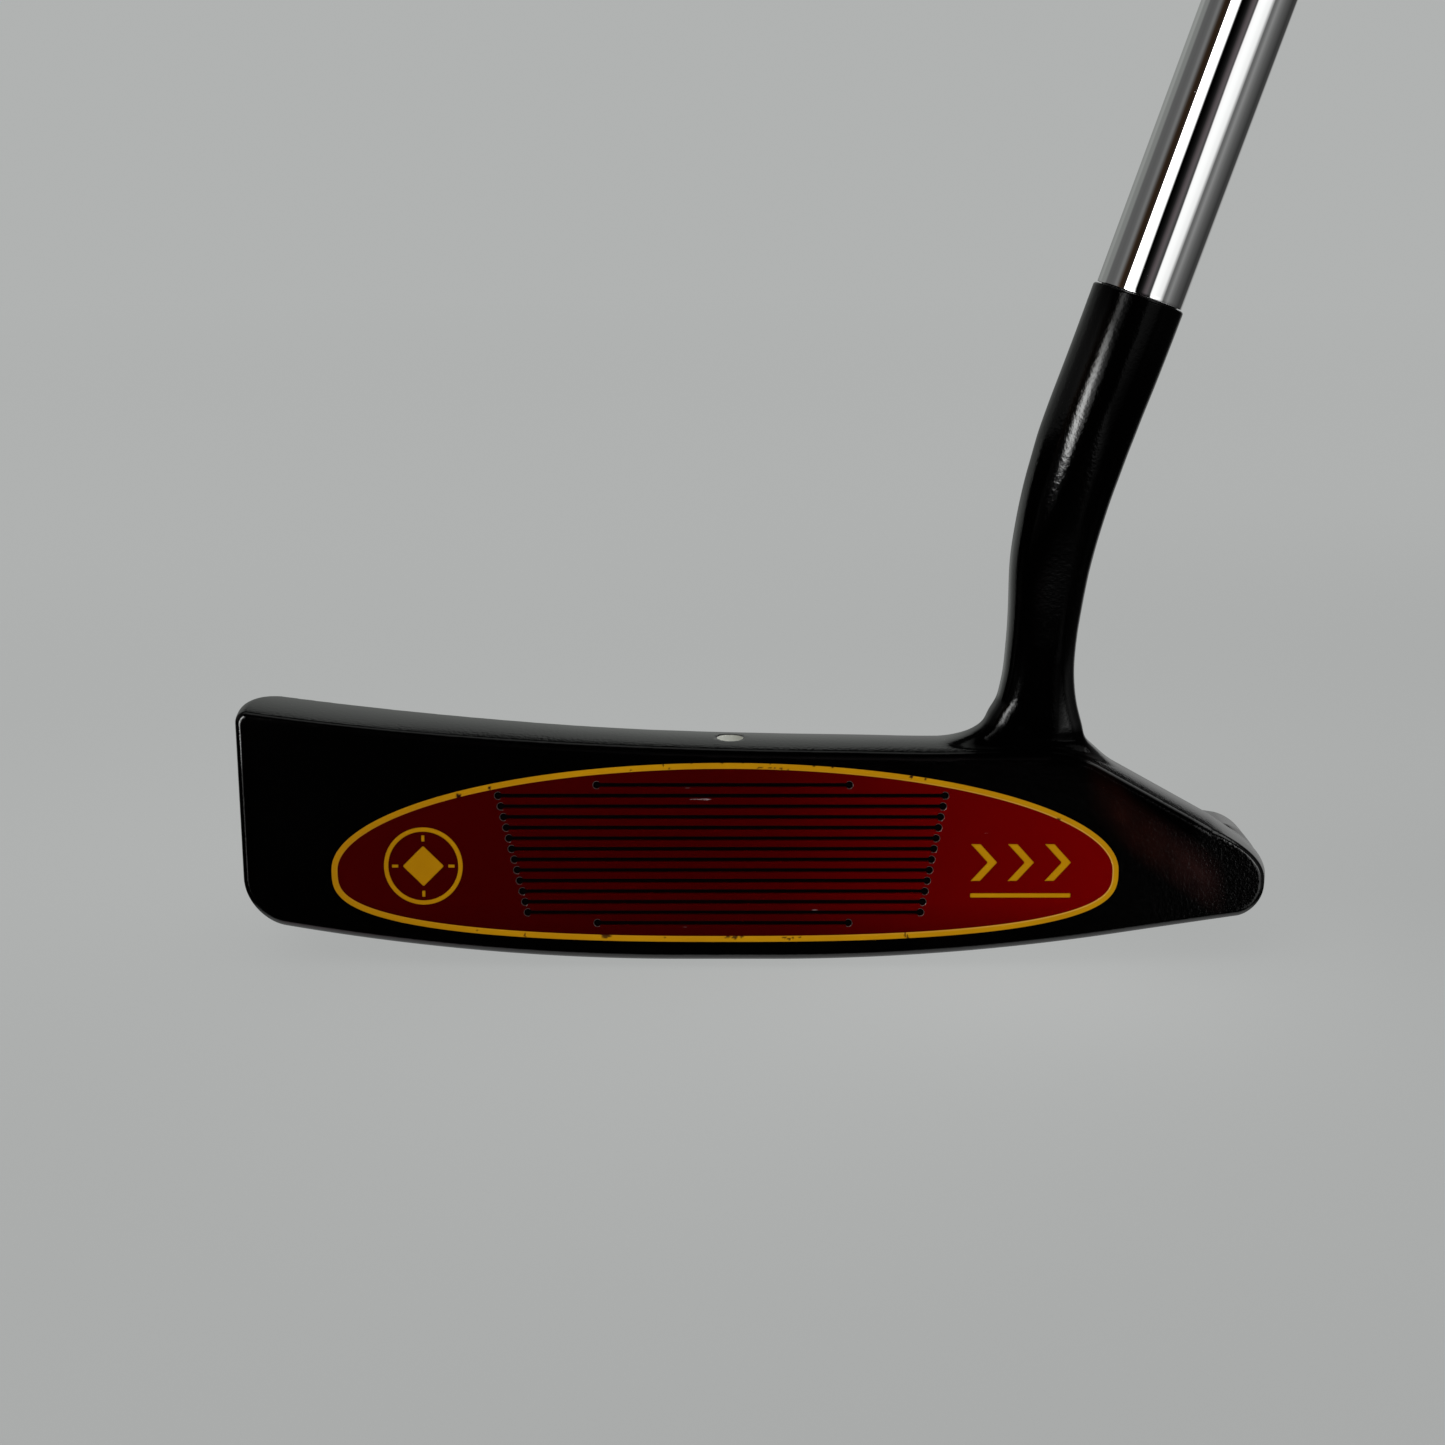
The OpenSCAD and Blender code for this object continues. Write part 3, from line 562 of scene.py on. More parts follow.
def m_head():
    k = Mat("head_black")
    grain = k.noise(2600, 2, 0.6); cloud = k.noise(60, 3, 0.55); worn = k.attr("worn")
    speck = k.ramp(k.noise(900, 1, 0.5), [(0.70, 0.0), (0.78, 1.0)])
    base = k.mix(cloud, (0.0002, 0.0002, 0.0002), (0.0007, 0.0006, 0.0006))
    base = k.mix(k.math("MULTIPLY", speck, 0.003), base, (0.4, 0.4, 0.4))
    # painted reflection: a brownish sheen, painted into the base colour, runs down the heel side of the face
    p = k.n("SeparateXYZ", Vector=k.co).outputs
    mid = k.math("ADD", k.math("MULTIPLY", k.math("ADD", p[0], -0.0447), -0.70), 0.0154)
    mid = k.math("ADD", mid, k.math("MULTIPLY", k.math("MAXIMUM", k.math("SUBTRACT", 0.0447, p[0]), 0.0), 0.34))
    d = k.math("MULTIPLY", k.math("ABSOLUTE", k.math("SUBTRACT", p[2], mid)), 0.8)
    ends = k.math("MULTIPLY", k.remap(p[0], 0.0390, 0.0430, 0.0, 1.0), k.remap(p[0], 0.0522, 0.0552, 1.0, 0.0))
    painted_sheen = k.math("MULTIPLY", k.remap(d, 0.0005, 0.0030, 1.0, 0.0), ends)
    painted_sheen = k.math("MULTIPLY", painted_sheen, k.remap(k.noise(420, 3, 0.6), 0.3, 0.7, 0.5, 1.0))
    base = k.mix(painted_sheen, base, k.mix(k.remap(p[0], 0.046, 0.053, 0.0, 1.0), (0.018, 0.0042, 0.0028), (0.025, 0.0090, 0.0085)))
    base = k.mix(worn, base, (0.75, 0.75, 0.76))
    # the clear coat is duller down the toe edge and round the foot of the neck
    toe = k.math("MULTIPLY", k.remap(p[0], -0.0532, -0.0526, 1.0, 0.0), k.remap(p[2], 0.0215, 0.0255, 1.0, 0.0))
    foot = k.math("MULTIPLY", k.math("MULTIPLY", k.remap(p[0], 0.0256, 0.0272, 0.0, 1.0), k.remap(p[0], 0.0355, 0.0375, 1.0, 0.0)),
                  k.math("MULTIPLY", k.remap(p[2], 0.0225, 0.0235, 0.0, 1.0), k.remap(p[2], 0.027, 0.0325, 1.0, 0.0)))
    foot = k.math("MULTIPLY", foot, k.remap(p[1], -0.0075, -0.0055, 1.0, 0.0))
    glint = k.math("MULTIPLY", k.remap(p[2], 0.0263, 0.0271, 0.0, 1.0), k.remap(p[2], 0.0284, 0.0294, 1.0, 0.0))
    foot = k.math("MULTIPLY", foot, k.math("SUBTRACT", 0.96, k.math("MULTIPLY", glint, 0.38)))
    front = k.remap(p[1], -0.0065, -0.0050, 1.0, 0.0)
    bar = k.math("MULTIPLY", k.math("MULTIPLY", k.remap(p[0], 0.0342, 0.0352, 0.0, 1.0), k.remap(p[0], 0.0362, 0.0372, 1.0, 0.0)),
                 k.math("MULTIPLY", k.remap(p[2], 0.0225, 0.0235, 0.0, 1.0), k.remap(p[2], 0.0335, 0.0375, 1.0, 0.0)))
    hem = k.math("MULTIPLY", k.math("MULTIPLY", k.remap(p[0], 0.0335, 0.0355, 0.0, 1.0), k.remap(p[0], 0.0392, 0.0404, 1.0, 0.0)),
                 k.math("MULTIPLY", k.remap(p[2], 0.0218, 0.0226, 0.0, 1.0), k.remap(p[2], 0.0256, 0.0266, 1.0, 0.0)))
    foot = k.math("MAXIMUM", foot, k.math("MAXIMUM", k.math("MULTIPLY", k.math("MULTIPLY", bar, front), 0.9), k.math("MULTIPLY", hem, 0.95)))
    # and along the face's edge under the heel slope
    out = k.math("SUBTRACT", k.math("ADD", p[1], 0.0125), k.math("MULTIPLY", p[2], TL))
    line = k.math("ADD", k.math("SUBTRACT", p[2], 0.02219), k.math("MULTIPLY", k.math("ADD", p[0], -0.0408), 0.5543))
    lip = k.math("MULTIPLY", k.remap(out, 0.00018, 0.00036, 1.0, 0.0), k.math("MULTIPLY", k.math("MULTIPLY", k.remap(p[0], 0.0372, 0.0400, 0.0, 1.0), k.remap(p[0], 0.0510, 0.0530, 1.0, 0.0)), k.remap(line, -0.0026, -0.0018, 0.0, 1.0)))
    dull = k.math("MAXIMUM", k.math("MULTIPLY", toe, 0.88), k.math("MAXIMUM", foot, k.math("MULTIPLY", lip, 0.9)))
    rough = k.math("ADD", k.remap(cloud, 0.3, 0.7, 0.055, 0.085), k.math("MULTIPLY", grain, 0.07))
    return k.done(Base_Color=base, Roughness=rough, IOR=1.45, Specular_IOR_Level=k.math("MULTIPLY", k.math("SUBTRACT", 1.0, dull), 0.5),
                  Normal=k.bump(grain, 0.5, 0.00004), Metallic=k.math("MULTIPLY", worn, 0.9))
def scratch_mask(k, marks):
    """Light marks on the plate: x from, x to, height, half width (mm), strength."""
    sep = k.n("SeparateXYZ", Vector=k.co)
    wob = k.noise(2500, 2, 0.6)
    total = None
    for x0, x1, z, w, amt in marks:
        dz = k.math("ABSOLUTE", k.math("ADD", k.math("SUBTRACT", sep.outputs[2], z * MM), k.math("MULTIPLY", k.math("SUBTRACT", wob, 0.5), 0.0002)))
        a = k.remap(dz, w * MM * 0.5, w * MM * 1.2, 1.0, 0.0)
        b = k.math("MULTIPLY", k.remap(sep.outputs[0], x0 * MM, (x0 + 0.25) * MM, 0.0, 1.0), k.remap(sep.outputs[0], (x1 - 0.25) * MM, x1 * MM, 1.0, 0.0))
        m = k.math("MULTIPLY", k.math("MULTIPLY", a, b), amt)
        total = m if total is None else k.math("MAXIMUM", total, m)
    return k.math("MULTIPLY", total, k.remap(wob, 0.35, 0.5, 0.3, 1.0))
def m_red():
    k = Mat("insert_red")
    grain = k.noise(2200, 2, 0.6); cloud = k.noise(45, 3, 0.5)
    brush = k.noise(1.0, 2, 0.6, vec=k.scaled((90, 3500, 3500)))
    x = k.n("SeparateXYZ", Vector=k.co).outputs[0]
    # painted light: the base colour brightens from the toe side to the heel side, standing in for the brighter
    # reflected light on the heel side
    side = k.remap(x, -0.045, 0.045, 0.0, 1.0)
    base = k.ramp(side, [(0.0, (0.064, 0.0001, 0.0002)), (0.46, (0.078, 0.0001, 0.0002)), (0.56, (0.092, 0.0001, 0.0003)), (0.78, (0.202, 0.0002, 0.0004)), (0.97, (0.275, 0.0002, 0.0004))])
    low = k.remap(k.n("SeparateXYZ", Vector=k.co).outputs[2], 0.0030, 0.0072, 0.42, 0.0)
    base = k.mix(k.math("ADD", k.math("MULTIPLY", cloud, 0.22), low), base, (0.03, 0.0001, 0.0002))
    mark = scratch_mask(k, [(-4.55, -2.1, 18.69, 0.045, 0.8), (-3.45, -2.35, 18.69, 0.085, 1.0), (-5.1, -4.4, 19.96, 0.04, 0.35), (9.0, 9.75, 6.22, 0.06, 0.7),
                            (-5.35, -4.8, 4.28, 0.04, 0.35), (-2.9, -2.5, 8.48, 0.07, 0.4), (28.0, 28.6, 14.9, 0.03, 0.25), (-19.0, -18.2, 21.3, 0.03, 0.2)])
    base = k.mix(mark, base, (0.55, 0.42, 0.42))
    rough = k.math("ADD", k.remap(cloud, 0.3, 0.7, 0.34, 0.42), k.math("MULTIPLY", grain, 0.08))
    nrm = k.bump(brush, 0.05, 0.00003, k.bump(grain, 0.10, 0.00003))
    return k.done(Base_Color=base, Metallic=0.45, Roughness=rough, Specular_IOR_Level=0.02, IOR=1.35, Normal=nrm)
def m_yellow(name="paint_yellow"):
    k = Mat(name)
    cloud = k.noise(160, 3, 0.6); grain = k.noise(1800, 2, 0.5); chip = k.attr("chip")
    base = k.mix(cloud, (0.64, 0.27, 0.0006), (0.84, 0.41, 0.0016))
    x = k.n("SeparateXYZ", Vector=k.co).outputs[0]
    # painted shade: the paint is darkened towards the toe side, standing in for the weaker light there
    base = k.mix(k.remap(x, -0.045, -0.015, 0.5, 0.0), base, (0.40, 0.16, 0.0004))
    # painted highlight: the border's inner edge is lightened, most towards the heel, standing in for light caught on
    # that edge
    base = k.mix(k.attr("painted_rim_highlight"), base, (1.0, 0.52, 0.12))
    base = k.mix(chip, base, (0.035, 0.006, 0.003))
    rough = k.math("ADD", k.remap(cloud, 0.3, 0.7, 0.30, 0.42), k.math("MULTIPLY", grain, 0.08))
    return k.done(Base_Color=base, Roughness=rough, IOR=1.45, Specular_IOR_Level=0.07, Normal=k.bump(grain, 0.15, 0.00004))
def m_white():
    k = Mat("paint_white")
    cloud = k.noise(700, 3, 0.6); grain = k.noise(3000, 2, 0.5)
    x = k.n("SeparateXYZ", Vector=k.co).outputs[0]
    # painted light: the dot is lighter on its toe side and darker on its heel side, standing in for light falling from
    # the toe side
    base = k.mix(k.remap(x, -0.0015, 0.0015, 1.0, 0.0), (0.42, 0.42, 0.34), (0.95, 0.95, 0.86))
    base = k.mix(k.math("MULTIPLY", cloud, 0.3), base, (0.45, 0.45, 0.38))
    return k.done(Base_Color=base, Roughness=0.38, Normal=k.bump(grain, 0.2, 0.00003))
def m_chrome():
    k = Mat("shaft_chrome")
    grain = k.noise(1.0, 2, 0.5, vec=k.scaled((2600, 2600, 260))); cloud = k.noise(30, 3, 0.5)
    speck = k.ramp(k.noise(1400, 1, 0.5), [(0.79, 0.0), (0.83, 1.0)])
    base = k.mix(cloud, (0.90, 0.90, 0.905), (0.96, 0.96, 0.96))
    base = k.mix(k.math("MULTIPLY", speck, 0.2), base, (0.3, 0.27, 0.25))
    rough = k.math("ADD", k.remap(cloud, 0.3, 0.7, 0.010, 0.022), k.math("MULTIPLY", speck, 0.15))
    return k.done(Base_Color=base, Metallic=1.0, Roughness=rough, Normal=k.bump(grain, 0.012, 0.00002))
def m_plain(name, a, b, rough, scale=300, bump=0.2, bscale=1500, metal=0.0, ior=1.45, spec=0.5):
    k = Mat(name)
    cloud = k.noise(scale, 4, 0.6); grain = k.noise(bscale, 3, 0.6)
    r = k.math("ADD", rough, k.math("MULTIPLY", cloud, 0.12))
    return k.done(Base_Color=k.mix(cloud, a, b), Roughness=r, Metallic=metal, IOR=ior, Specular_IOR_Level=spec, Normal=k.bump(grain, bump, 0.00005))
def m_rubber(name):
    k = Mat(name)
    cloud = k.noise(40, 4, 0.6); grain = k.noise(1600, 3, 0.65); pit = k.noise(520, 2, 0.5)
    dust = k.math("MULTIPLY", k.attr("groove"), k.remap(cloud, 0.35, 0.65, 0.35, 0.9))
    base = k.mix(cloud, (0.010, 0.010, 0.0105), (0.021, 0.021, 0.022))
    base = k.mix(dust, base, (0.045, 0.043, 0.040))
    nrm = k.bump(pit, 0.25, 0.00010, k.bump(grain, 0.5, 0.00006))
    rough = k.math("ADD", k.remap(cloud, 0.3, 0.7, 0.55, 0.68), k.math("MULTIPLY", dust, 0.2))
    return k.done(Base_Color=base, Roughness=rough, IOR=1.48, Normal=nrm)

# ------------------------------------------------------------------ insert
PITCH, SLOT_W, END_D = 1.198, 0.42, 0.80
SLOTS = [(-25.7 + 0.287 * i, 23.7 - 0.237 * i, 19.13 - PITCH * i) for i in range(12)]
SLOTS += [(-14.8, 13.1, 19.13 + PITCH), (-14.8, 13.1, 19.13 - PITCH * 12)]
def dumbbell(x0, x1, z, w, d, n=18):
    a0 = math.asin(w / d)
    a = np.linspace(-(math.pi - a0), math.pi - a0, n + 1)
    R = np.stack([x1 + d / 2 * np.cos(a), z + d / 2 * np.sin(a)], 1)
    b = np.linspace(a0, 2 * math.pi - a0, n + 1)
    L = np.stack([x0 + d / 2 * np.cos(b), z + d / 2 * np.sin(b)], 1)
    m = 9
    t = np.linspace(0, 1, m + 2)[1:-1, None]
    up = R[-1] + t * (L[0] - R[-1]); dn = L[-1] + t * (R[0] - L[-1])
    return np.vstack([R, up, L, dn])
def circle2(cx, cz, r, n=96, a0=0.0):
    a = a0 + np.arange(n) * 2 * math.pi / n
    return np.stack([cx + r * np.cos(a), cz + r * np.sin(a)], 1)
def poly2(pts):
    return np.array(pts, float)
def fillet(P, r, n=4):
    """Small round on every corner of a closed outline."""
    out = []
    for i in range(len(P)):
        p, a, b = P[i], P[i - 1], P[(i + 1) % len(P)]
        u = (a - p) / np.linalg.norm(a - p); w = (b - p) / np.linalg.norm(b - p)
        k = min(r, 0.4 * np.linalg.norm(a - p), 0.4 * np.linalg.norm(b - p))
        for t in np.linspace(0, 1, n):
            out.append((1 - t) ** 2 * (p + u * k) + 2 * t * (1 - t) * p + t * t * (p + w * k))
    return np.array(out)
TOE = np.array([-34.1, 11.2])
TOE_RING = [circle2(*TOE, 4.4, 128), circle2(*TOE, 3.85, 128)]
def ticks():
    out = []
    for a in range(4):
        c, s = math.cos(a * math.pi / 2), math.sin(a * math.pi / 2)
        P = poly2([[2.75, -0.2], [3.5, -0.2], [3.5, 0.2], [2.75, 0.2]])
        out.append(fillet(TOE + np.stack([P[:, 0] * c - P[:, 1] * s, P[:, 0] * s + P[:, 1] * c], 1), 0.08))
    return out
DIAMOND = fillet(TOE + poly2([[0, -2.33], [2.33, 0], [0, 2.33], [-2.33, 0]]), 0.2)
CHEVS = [fillet(poly2([[0, 2.1], [1.9, 0], [0, -2.1], [1.1, -2.1], [3.0, 0], [1.1, 2.1]]) + [26.6 + 4.1 * i, 11.6], 0.12) for i in range(3)]
BAR = fillet(poly2([[26.6, 7.6], [37.8, 7.6], [37.8, 8.15], [26.6, 8.15]]), 0.15)
def wall_chunk(outline, levels, mat, inward):
    """Side walls along an outline. levels: (offset, height). inward=True when the outline is a hole's edge."""
    n = len(outline)
    nin = offset_in(outline, 1.0) - outline
    V, N = [], []
    for i, (w, h) in enumerate(levels):
        V.append(face_pt(outline + nin * w, h))
    V3 = np.array(V)
    for i in range(len(levels)):
        a = levels[max(i - 1, 0)]; b = levels[min(i + 1, len(levels) - 1)]
        dw, dh = b[0] - a[0], b[1] - a[1]
        L = math.hypot(dw, dh) or 1.0
        # the surface runs from a to b going down; its normal is that turned by a right angle
        nw, nh = (-dh / L, dw / L)
        if nw < 0 and inward: nw, nh = -nw, -nh
        if nw > 0 and not inward: nw, nh = -nw, -nh
        if abs(nw) < 1e-6 and nh < 0: nh = -nh
        t = nin * nw
        N.append(np.stack([t[:, 0], t[:, 1] * SL - nh * CL, t[:, 1] * CL + nh * SL], 1))
    f = grid_faces(len(levels), n)
    # turn faces so that they agree with the normals
    P = np.vstack(V); NN = np.vstack(N)
    g = np.cross(P[f[:, 2]] - P[f[:, 0]], P[f[:, 3]] - P[f[:, 1]])
    bad = (g * NN[f[:, 0]]).sum(1) + (g * NN[f[:, 2]]).sum(1) < 0
    f[bad] = f[bad][:, ::-1]
    return (P, [f], NN, mat)
def lid(outline, holes, h, mat):
    P, T = cdt(outline, holes)
    return (face_pt(P, h), [T], np.tile(FACE_N, (len(P), 1)), mat)

def make_insert():
    pocket = ins_outline(0, 720)
    edge = offset_in(pocket, 0.70)
    C = 0.085
    chunks = []
    holes_top = [dumbbell(a, b, z, SLOT_W + 2 * C, END_D + 2 * C) for a, b, z in SLOTS]
    marks = [TOE_RING[0], TOE_RING[1], DIAMOND, *ticks(), *CHEVS, BAR]
    top_edge = offset_in(edge, 0.05)
    chunks.append(lid(top_edge, holes_top + marks, 0.0, 0))
    chunks.append(wall_chunk(edge, [(0.05, 0.0), (0.035, -0.004), (0.012, -0.02), (0.0, -0.045), (0.0, -2.2)], 0, False))
    for H in holes_top:
        chunks += slot_wall(H, C)
    for o in marks:
        inward = o is not TOE_RING[1]
        chunks.append(wall_chunk(o, [(0.0, 0.0), (0.0, -0.16)], 0, inward))
    return chunks
def slot_wall(H, C):
    n = len(H); nin = offset_in(H, 1.0) - H          # points into the opening
    lv = [(0.0, 0.0), (C * 0.3, -0.010), (C * 0.7, -0.030), (C, -0.062), (C, -0.6)]
    nn = [(0.15, 0.99), (0.5, 0.87), (0.8, 0.6), (1.0, 0.05), (1.0, 0.0)]
    V, N = [], []
    for (w, h), (a, b) in zip(lv, nn):
        V.append(face_pt(H + nin * w, h)); t = nin * a
        N.append(np.stack([t[:, 0], t[:, 1] * SL - b * CL, t[:, 1] * CL + b * SL], 1))
    P = np.vstack(V); NN = np.vstack(N); f = grid_faces(len(lv), n)
    g = np.cross(P[f[:, 2]] - P[f[:, 0]], P[f[:, 3]] - P[f[:, 1]])
    bad = (g * (NN[f[:, 0]] + NN[f[:, 2]])).sum(1) < 0
    f[bad] = f[bad][:, ::-1]
    # the drilled ends show bare metal on their rims
    X = H[f % n][..., 0]
    end = (X < H[:, 0].min() + 0.86).all(1) | (X > H[:, 0].max() - 0.86).all(1)
    lvl = f.min(1) // n
    bare = end & (lvl >= 1) & (lvl <= 2)
    return [(P, [f[~bare]], NN, 0), (P, [f[bare]], NN, 1)]

def paint_dome(outline, lvl, mat):
    """Filled paint inside an outline: a rounded edge and a flat top."""
    rings = [(0.015, -0.16)] + lvl
    ch = [wall_chunk(outline, rings, mat, False)]
    w, h = rings[-1]
    ch.append(lid(offset_in(outline, w), [], h, mat))
    return ch
DOME = [(0.015, -0.07), (0.04, -0.045), (0.09, -0.032), (0.14, -0.03)]
def make_toe_fill():
    ch = []
    outer, inner = TOE_RING
    ch.append(wall_chunk(outer, [(0.015, -0.16)] + DOME, 0, False))
    inner_out = inner[::-1]                              # seen from the ring, this edge turns the other way
    ch.append(wall_chunk(inner_out, [(0.015, -0.16)] + DOME, 0, False))
    ch.append(lid(offset_in(outer, 0.14), [circle2(*TOE, 3.99, 128)], -0.03, 0))
    for o in [DIAMOND, *ticks()]:
        ch += paint_dome(o, DOME[:3] if len(o) < 20 else DOME, 0)
    return ch
def make_heel_fill():
    ch = []
    for o in [*CHEVS, BAR]:
        ch += paint_dome(o, DOME, 0)
    return ch

# chips in the painted border: x, up the face, radius along, radius across, depth
def make_border(chips):
    n = 1600 if FINE else 900
    base = ins_outline(0.0, n)
    nin = offset_in(base, 1.0) - base
    prof = [(0.0, -0.6), (0.0, -0.055), (0.03, -0.022), (0.08, -0.008), (0.2, 0.0), (0.36, 0.003), (0.5, 0.0), (0.62, -0.01), (0.67, -0.026), (0.70, -0.055), (0.70, -0.6)]
    W = np.array([p[0] for p in prof]); Hh = np.array([p[1] for p in prof])
    V = np.array([base + nin * w for w in W])            # rows, n, 2
    H = np.repeat(Hh[:, None], n, 1).astype(float)
    chip = np.zeros_like(H)
    rs = np.random.RandomState(5)
    for cx, cz, ra, rb, dp in chips:
        d = V - np.array([cx, cz])
        # along and across the border at the nearest point
        i = np.argmin(((base + nin * 0.35 - [cx, cz]) ** 2).sum(1))
        tx, tz = nin[i][1], -nin[i][0]
        u = (d[..., 0] * tx + d[..., 1] * tz) / ra; w = (d[..., 0] * nin[i][0] + d[..., 1] * nin[i][1]) / rb
        th = np.arctan2(w, u)
        ph = rs.uniform(0, 6.28, 3)
        r = np.hypot(u, w) * (1 + 0.22 * np.sin(3 * th + ph[0]) + 0.16 * np.sin(5 * th + ph[1]))
        k = 1 - np.clip((r - 0.75) / 0.35, 0, 1)
        chip = np.maximum(chip, k * dp)
    top = (Hh > -0.3)[:, None]
    H = np.where(top, H - 0.09 * chip, H)
    # slow waviness of hand-filled paint
    a = np.arange(n) * 2 * math.pi / n
    wave = 0.004 * np.sin(23 * a + 1.3) + 0.003 * np.sin(61 * a) + 0.003 * np.sin(97 * a + 2)
    H = np.where(top & (W[:, None] > 0.01) & (W[:, None] < 0.69), H + wave[None], H)
    P = np.stack([V[..., 0], FRONT + V[..., 1] * SL - H * CL, V[..., 1] * CL + H * SL], -1)
    N = grid_normals(P)
    if N[5, 0] @ FACE_N < 0: N = -N
    f = grid_faces(len(prof), n)
    Pf = P.reshape(-1, 3); Nf = N.reshape(-1, 3)
    g = np.cross(Pf[f[:, 2]] - Pf[f[:, 0]], Pf[f[:, 3]] - Pf[f[:, 1]])
    bad = (g * Nf[f[:, 0]]).sum(1) < 0
    f[bad] = f[bad][:, ::-1]
    # painted highlight along the inner edge, stronger towards the heel, and a faint one along the outer edge
    painted_rim_highlight = np.exp(-((W[:, None] - 0.62) / 0.05) ** 2) * (0.10 + 0.75 * sstep(V[..., 0], 5, 42)) + 0.10 * np.exp(-((W[:, None] - 0.05) / 0.03) ** 2)
    # close the underside
    m = len(prof)
    back = np.vstack([Pf[(m - 1) * n:], Pf[:n]])
    spare = np.zeros(2 * n)
    return [(Pf, [f], Nf, 0), (back, [grid_faces(2, n)], np.tile(-FACE_N, (2 * n, 1)), 0)], np.concatenate([chip.ravel(), spare]), np.concatenate([painted_rim_highlight.ravel(), spare])

def set_attr(ob, name, values):
    at = ob.data.attributes.new(name, "FLOAT", "POINT")
    at.data.foreach_set("value", np.asarray(values, np.float32))
def read_co(ob):
    co = np.zeros(len(ob.data.vertices) * 3, np.float32); ob.data.vertices.foreach_get("co", co)
    return co.reshape(-1, 3).astype(float) / MM

# ------------------------------------------------------------------ shaft frame
SX = np.array([AX[2], 0, -AX[0]]); SY = np.array([0, 1.0, 0])
BUTT_S, GRIP_S = 786.265, 519.265
def shaft_pt(x, y, s):
    x, y, s = np.broadcast_arrays(x, y, s)
    return JOINT + x[..., None] * SX + y[..., None] * SY + s[..., None] * AX
def lathe(segments, m, mat=0):
    """segments: lists of (radius, s), each smooth in itself and sharp where it meets the next."""
    th = np.arange(m) * 2 * math.pi / m
    out = []
    for seg in segments:
        pr = np.array(seg, float)
        t = np.gradient(pr, axis=0) if len(pr) > 2 else np.repeat(pr[1:] - pr[:-1], 2, 0)
        if len(pr) > 2:
            t[0] = pr[1] - pr[0]; t[-1] = pr[-1] - pr[-2]
        t /= np.maximum(np.linalg.norm(t, axis=1), 1e-9)[:, None]
        nr, ns = t[:, 1], -t[:, 0]
        P = shaft_pt(pr[:, :1] * np.cos(th), pr[:, :1] * np.sin(th), pr[:, 1:] + 0 * th)
        N = (nr[:, None] * np.cos(th))[..., None] * SX + (nr[:, None] * np.sin(th))[..., None] * SY + (ns[:, None] + 0 * th)[..., None] * AX
        f = grid_faces(len(pr), m)
        out.append((P.reshape(-1, 3), [f], N.reshape(-1, 3), mat))
    return out
def step_r(i): return 4.7 + 2.65 * i / 11
def make_shaft():
    segs = [[(4.2, 0.12), (4.60, 0.12)],
            [(4.60, 0.12), (4.655, 0.135), (4.69, 0.175), (4.70, 0.24), (4.70, 0.6), (4.70, 213.6)]]
    last = (4.70, 213.6)
    for i in range(11):
        s0 = 215 + 24 * i; a, b = step_r(i), step_r(i + 1)
        segs.append([last, (a, s0 - 0.35)])
        segs.append([(a, s0 - 0.35), (a + 0.004, s0), (a + 0.25 * (b - a), s0 + 0.5), (b - 0.25 * (b - a), s0 + 1.5), (b - 0.004, s0 + 2.0), (b, s0 + 2.35)])
        last = (b, s0 + 2.35)
    segs.append([last, (7.35, 781.1)])
    segs.append([(7.35, 781.1), (7.25, 781.265), (6.85, 781.265)])
    segs.append([(6.85, 781.265), (6.85, 481.0)])
    segs.append([(6.85, 481.0), (4.2, 215.0), (4.2, 0.12)])
    return lathe(segs, 192 if FINE else 96)
def make_band():
    a, b = 464.265, 502.265
    segs = [[(7.355, a), (7.46, a)], [(7.46, a), (7.49, a + 0.02), (7.50, a + 0.08), (7.50, a + 0.5), (7.50, b - 0.5), (7.50, b - 0.08), (7.49, b - 0.02), (7.46, b)], [(7.46, b), (7.355, b)]]
    return lathe(segs, 128)

# ------------------------------------------------------------------ grip
GT = np.array([[0, 8.6, 8.8, 8.8], [.006, 9.4, 9.7, 9.7], [.05, 9.7, 10.1, 10.3], [.15, 10.1, 10.6, 11.0], [.3, 10.5, 11.1, 11.8],
               [.45, 10.9, 11.5, 12.4], [.58, 11.2, 11.9, 12.8], [.68, 11.5, 12.4, 13.0], [.76, 11.8, 13.4, 13.2], [.83, 12.1, 15.0, 13.3],
               [.89, 12.4, 16.6, 13.4], [.94, 12.6, 17.4, 13.4], [1, 12.6, 17.2, 13.2]])
BODY = 262.0
GU = np.linspace(0, BODY, 1049)
def _soft(col, w=36):
    y = np.interp(GU, GT[:, 0] * BODY, GT[:, col])
    pad = np.concatenate([2 * y[0] - y[w:0:-1], y, 2 * y[-1] - y[-2:-w - 2:-1]])
    k = np.hanning(2 * w + 1); k /= k.sum()
    return np.convolve(pad, k, "valid")
GX = [_soft(1), _soft(2), _soft(3)]
def grip_base(u, a):
    xf, xb, wy = [np.interp(u, GU, g) for g in GX]
    lip = np.clip(1 - u / 1.4, 0, 1)
    sh = 1.0 * (1 - np.sqrt(np.maximum(1 - lip ** 2, 0)))
    top = np.clip(1 - (BODY - u) / 0.5, 0, 1)
    sh = sh + 0.3 * (1 - np.sqrt(np.maximum(1 - top ** 2, 0)))
    xf, xb, wy = xf - sh, xb - sh, wy - sh
    c, s = np.cos(a), np.sin(a)
    lo = c < 0
    x = np.sign(c) * np.abs(c) ** np.where(lo, 0.45, 0.85) * np.where(lo, xf, xb)
    y = np.sign(s) * np.abs(s) ** np.where(lo, 0.8, 0.9) * wy
    return x, y
def notch(d, w):
    """1 in the middle of a groove of half width w, 0 outside, smooth."""
    return 0.5 + 0.5 * np.cos(math.pi * np.clip(np.abs(d) / w, 0, 1))
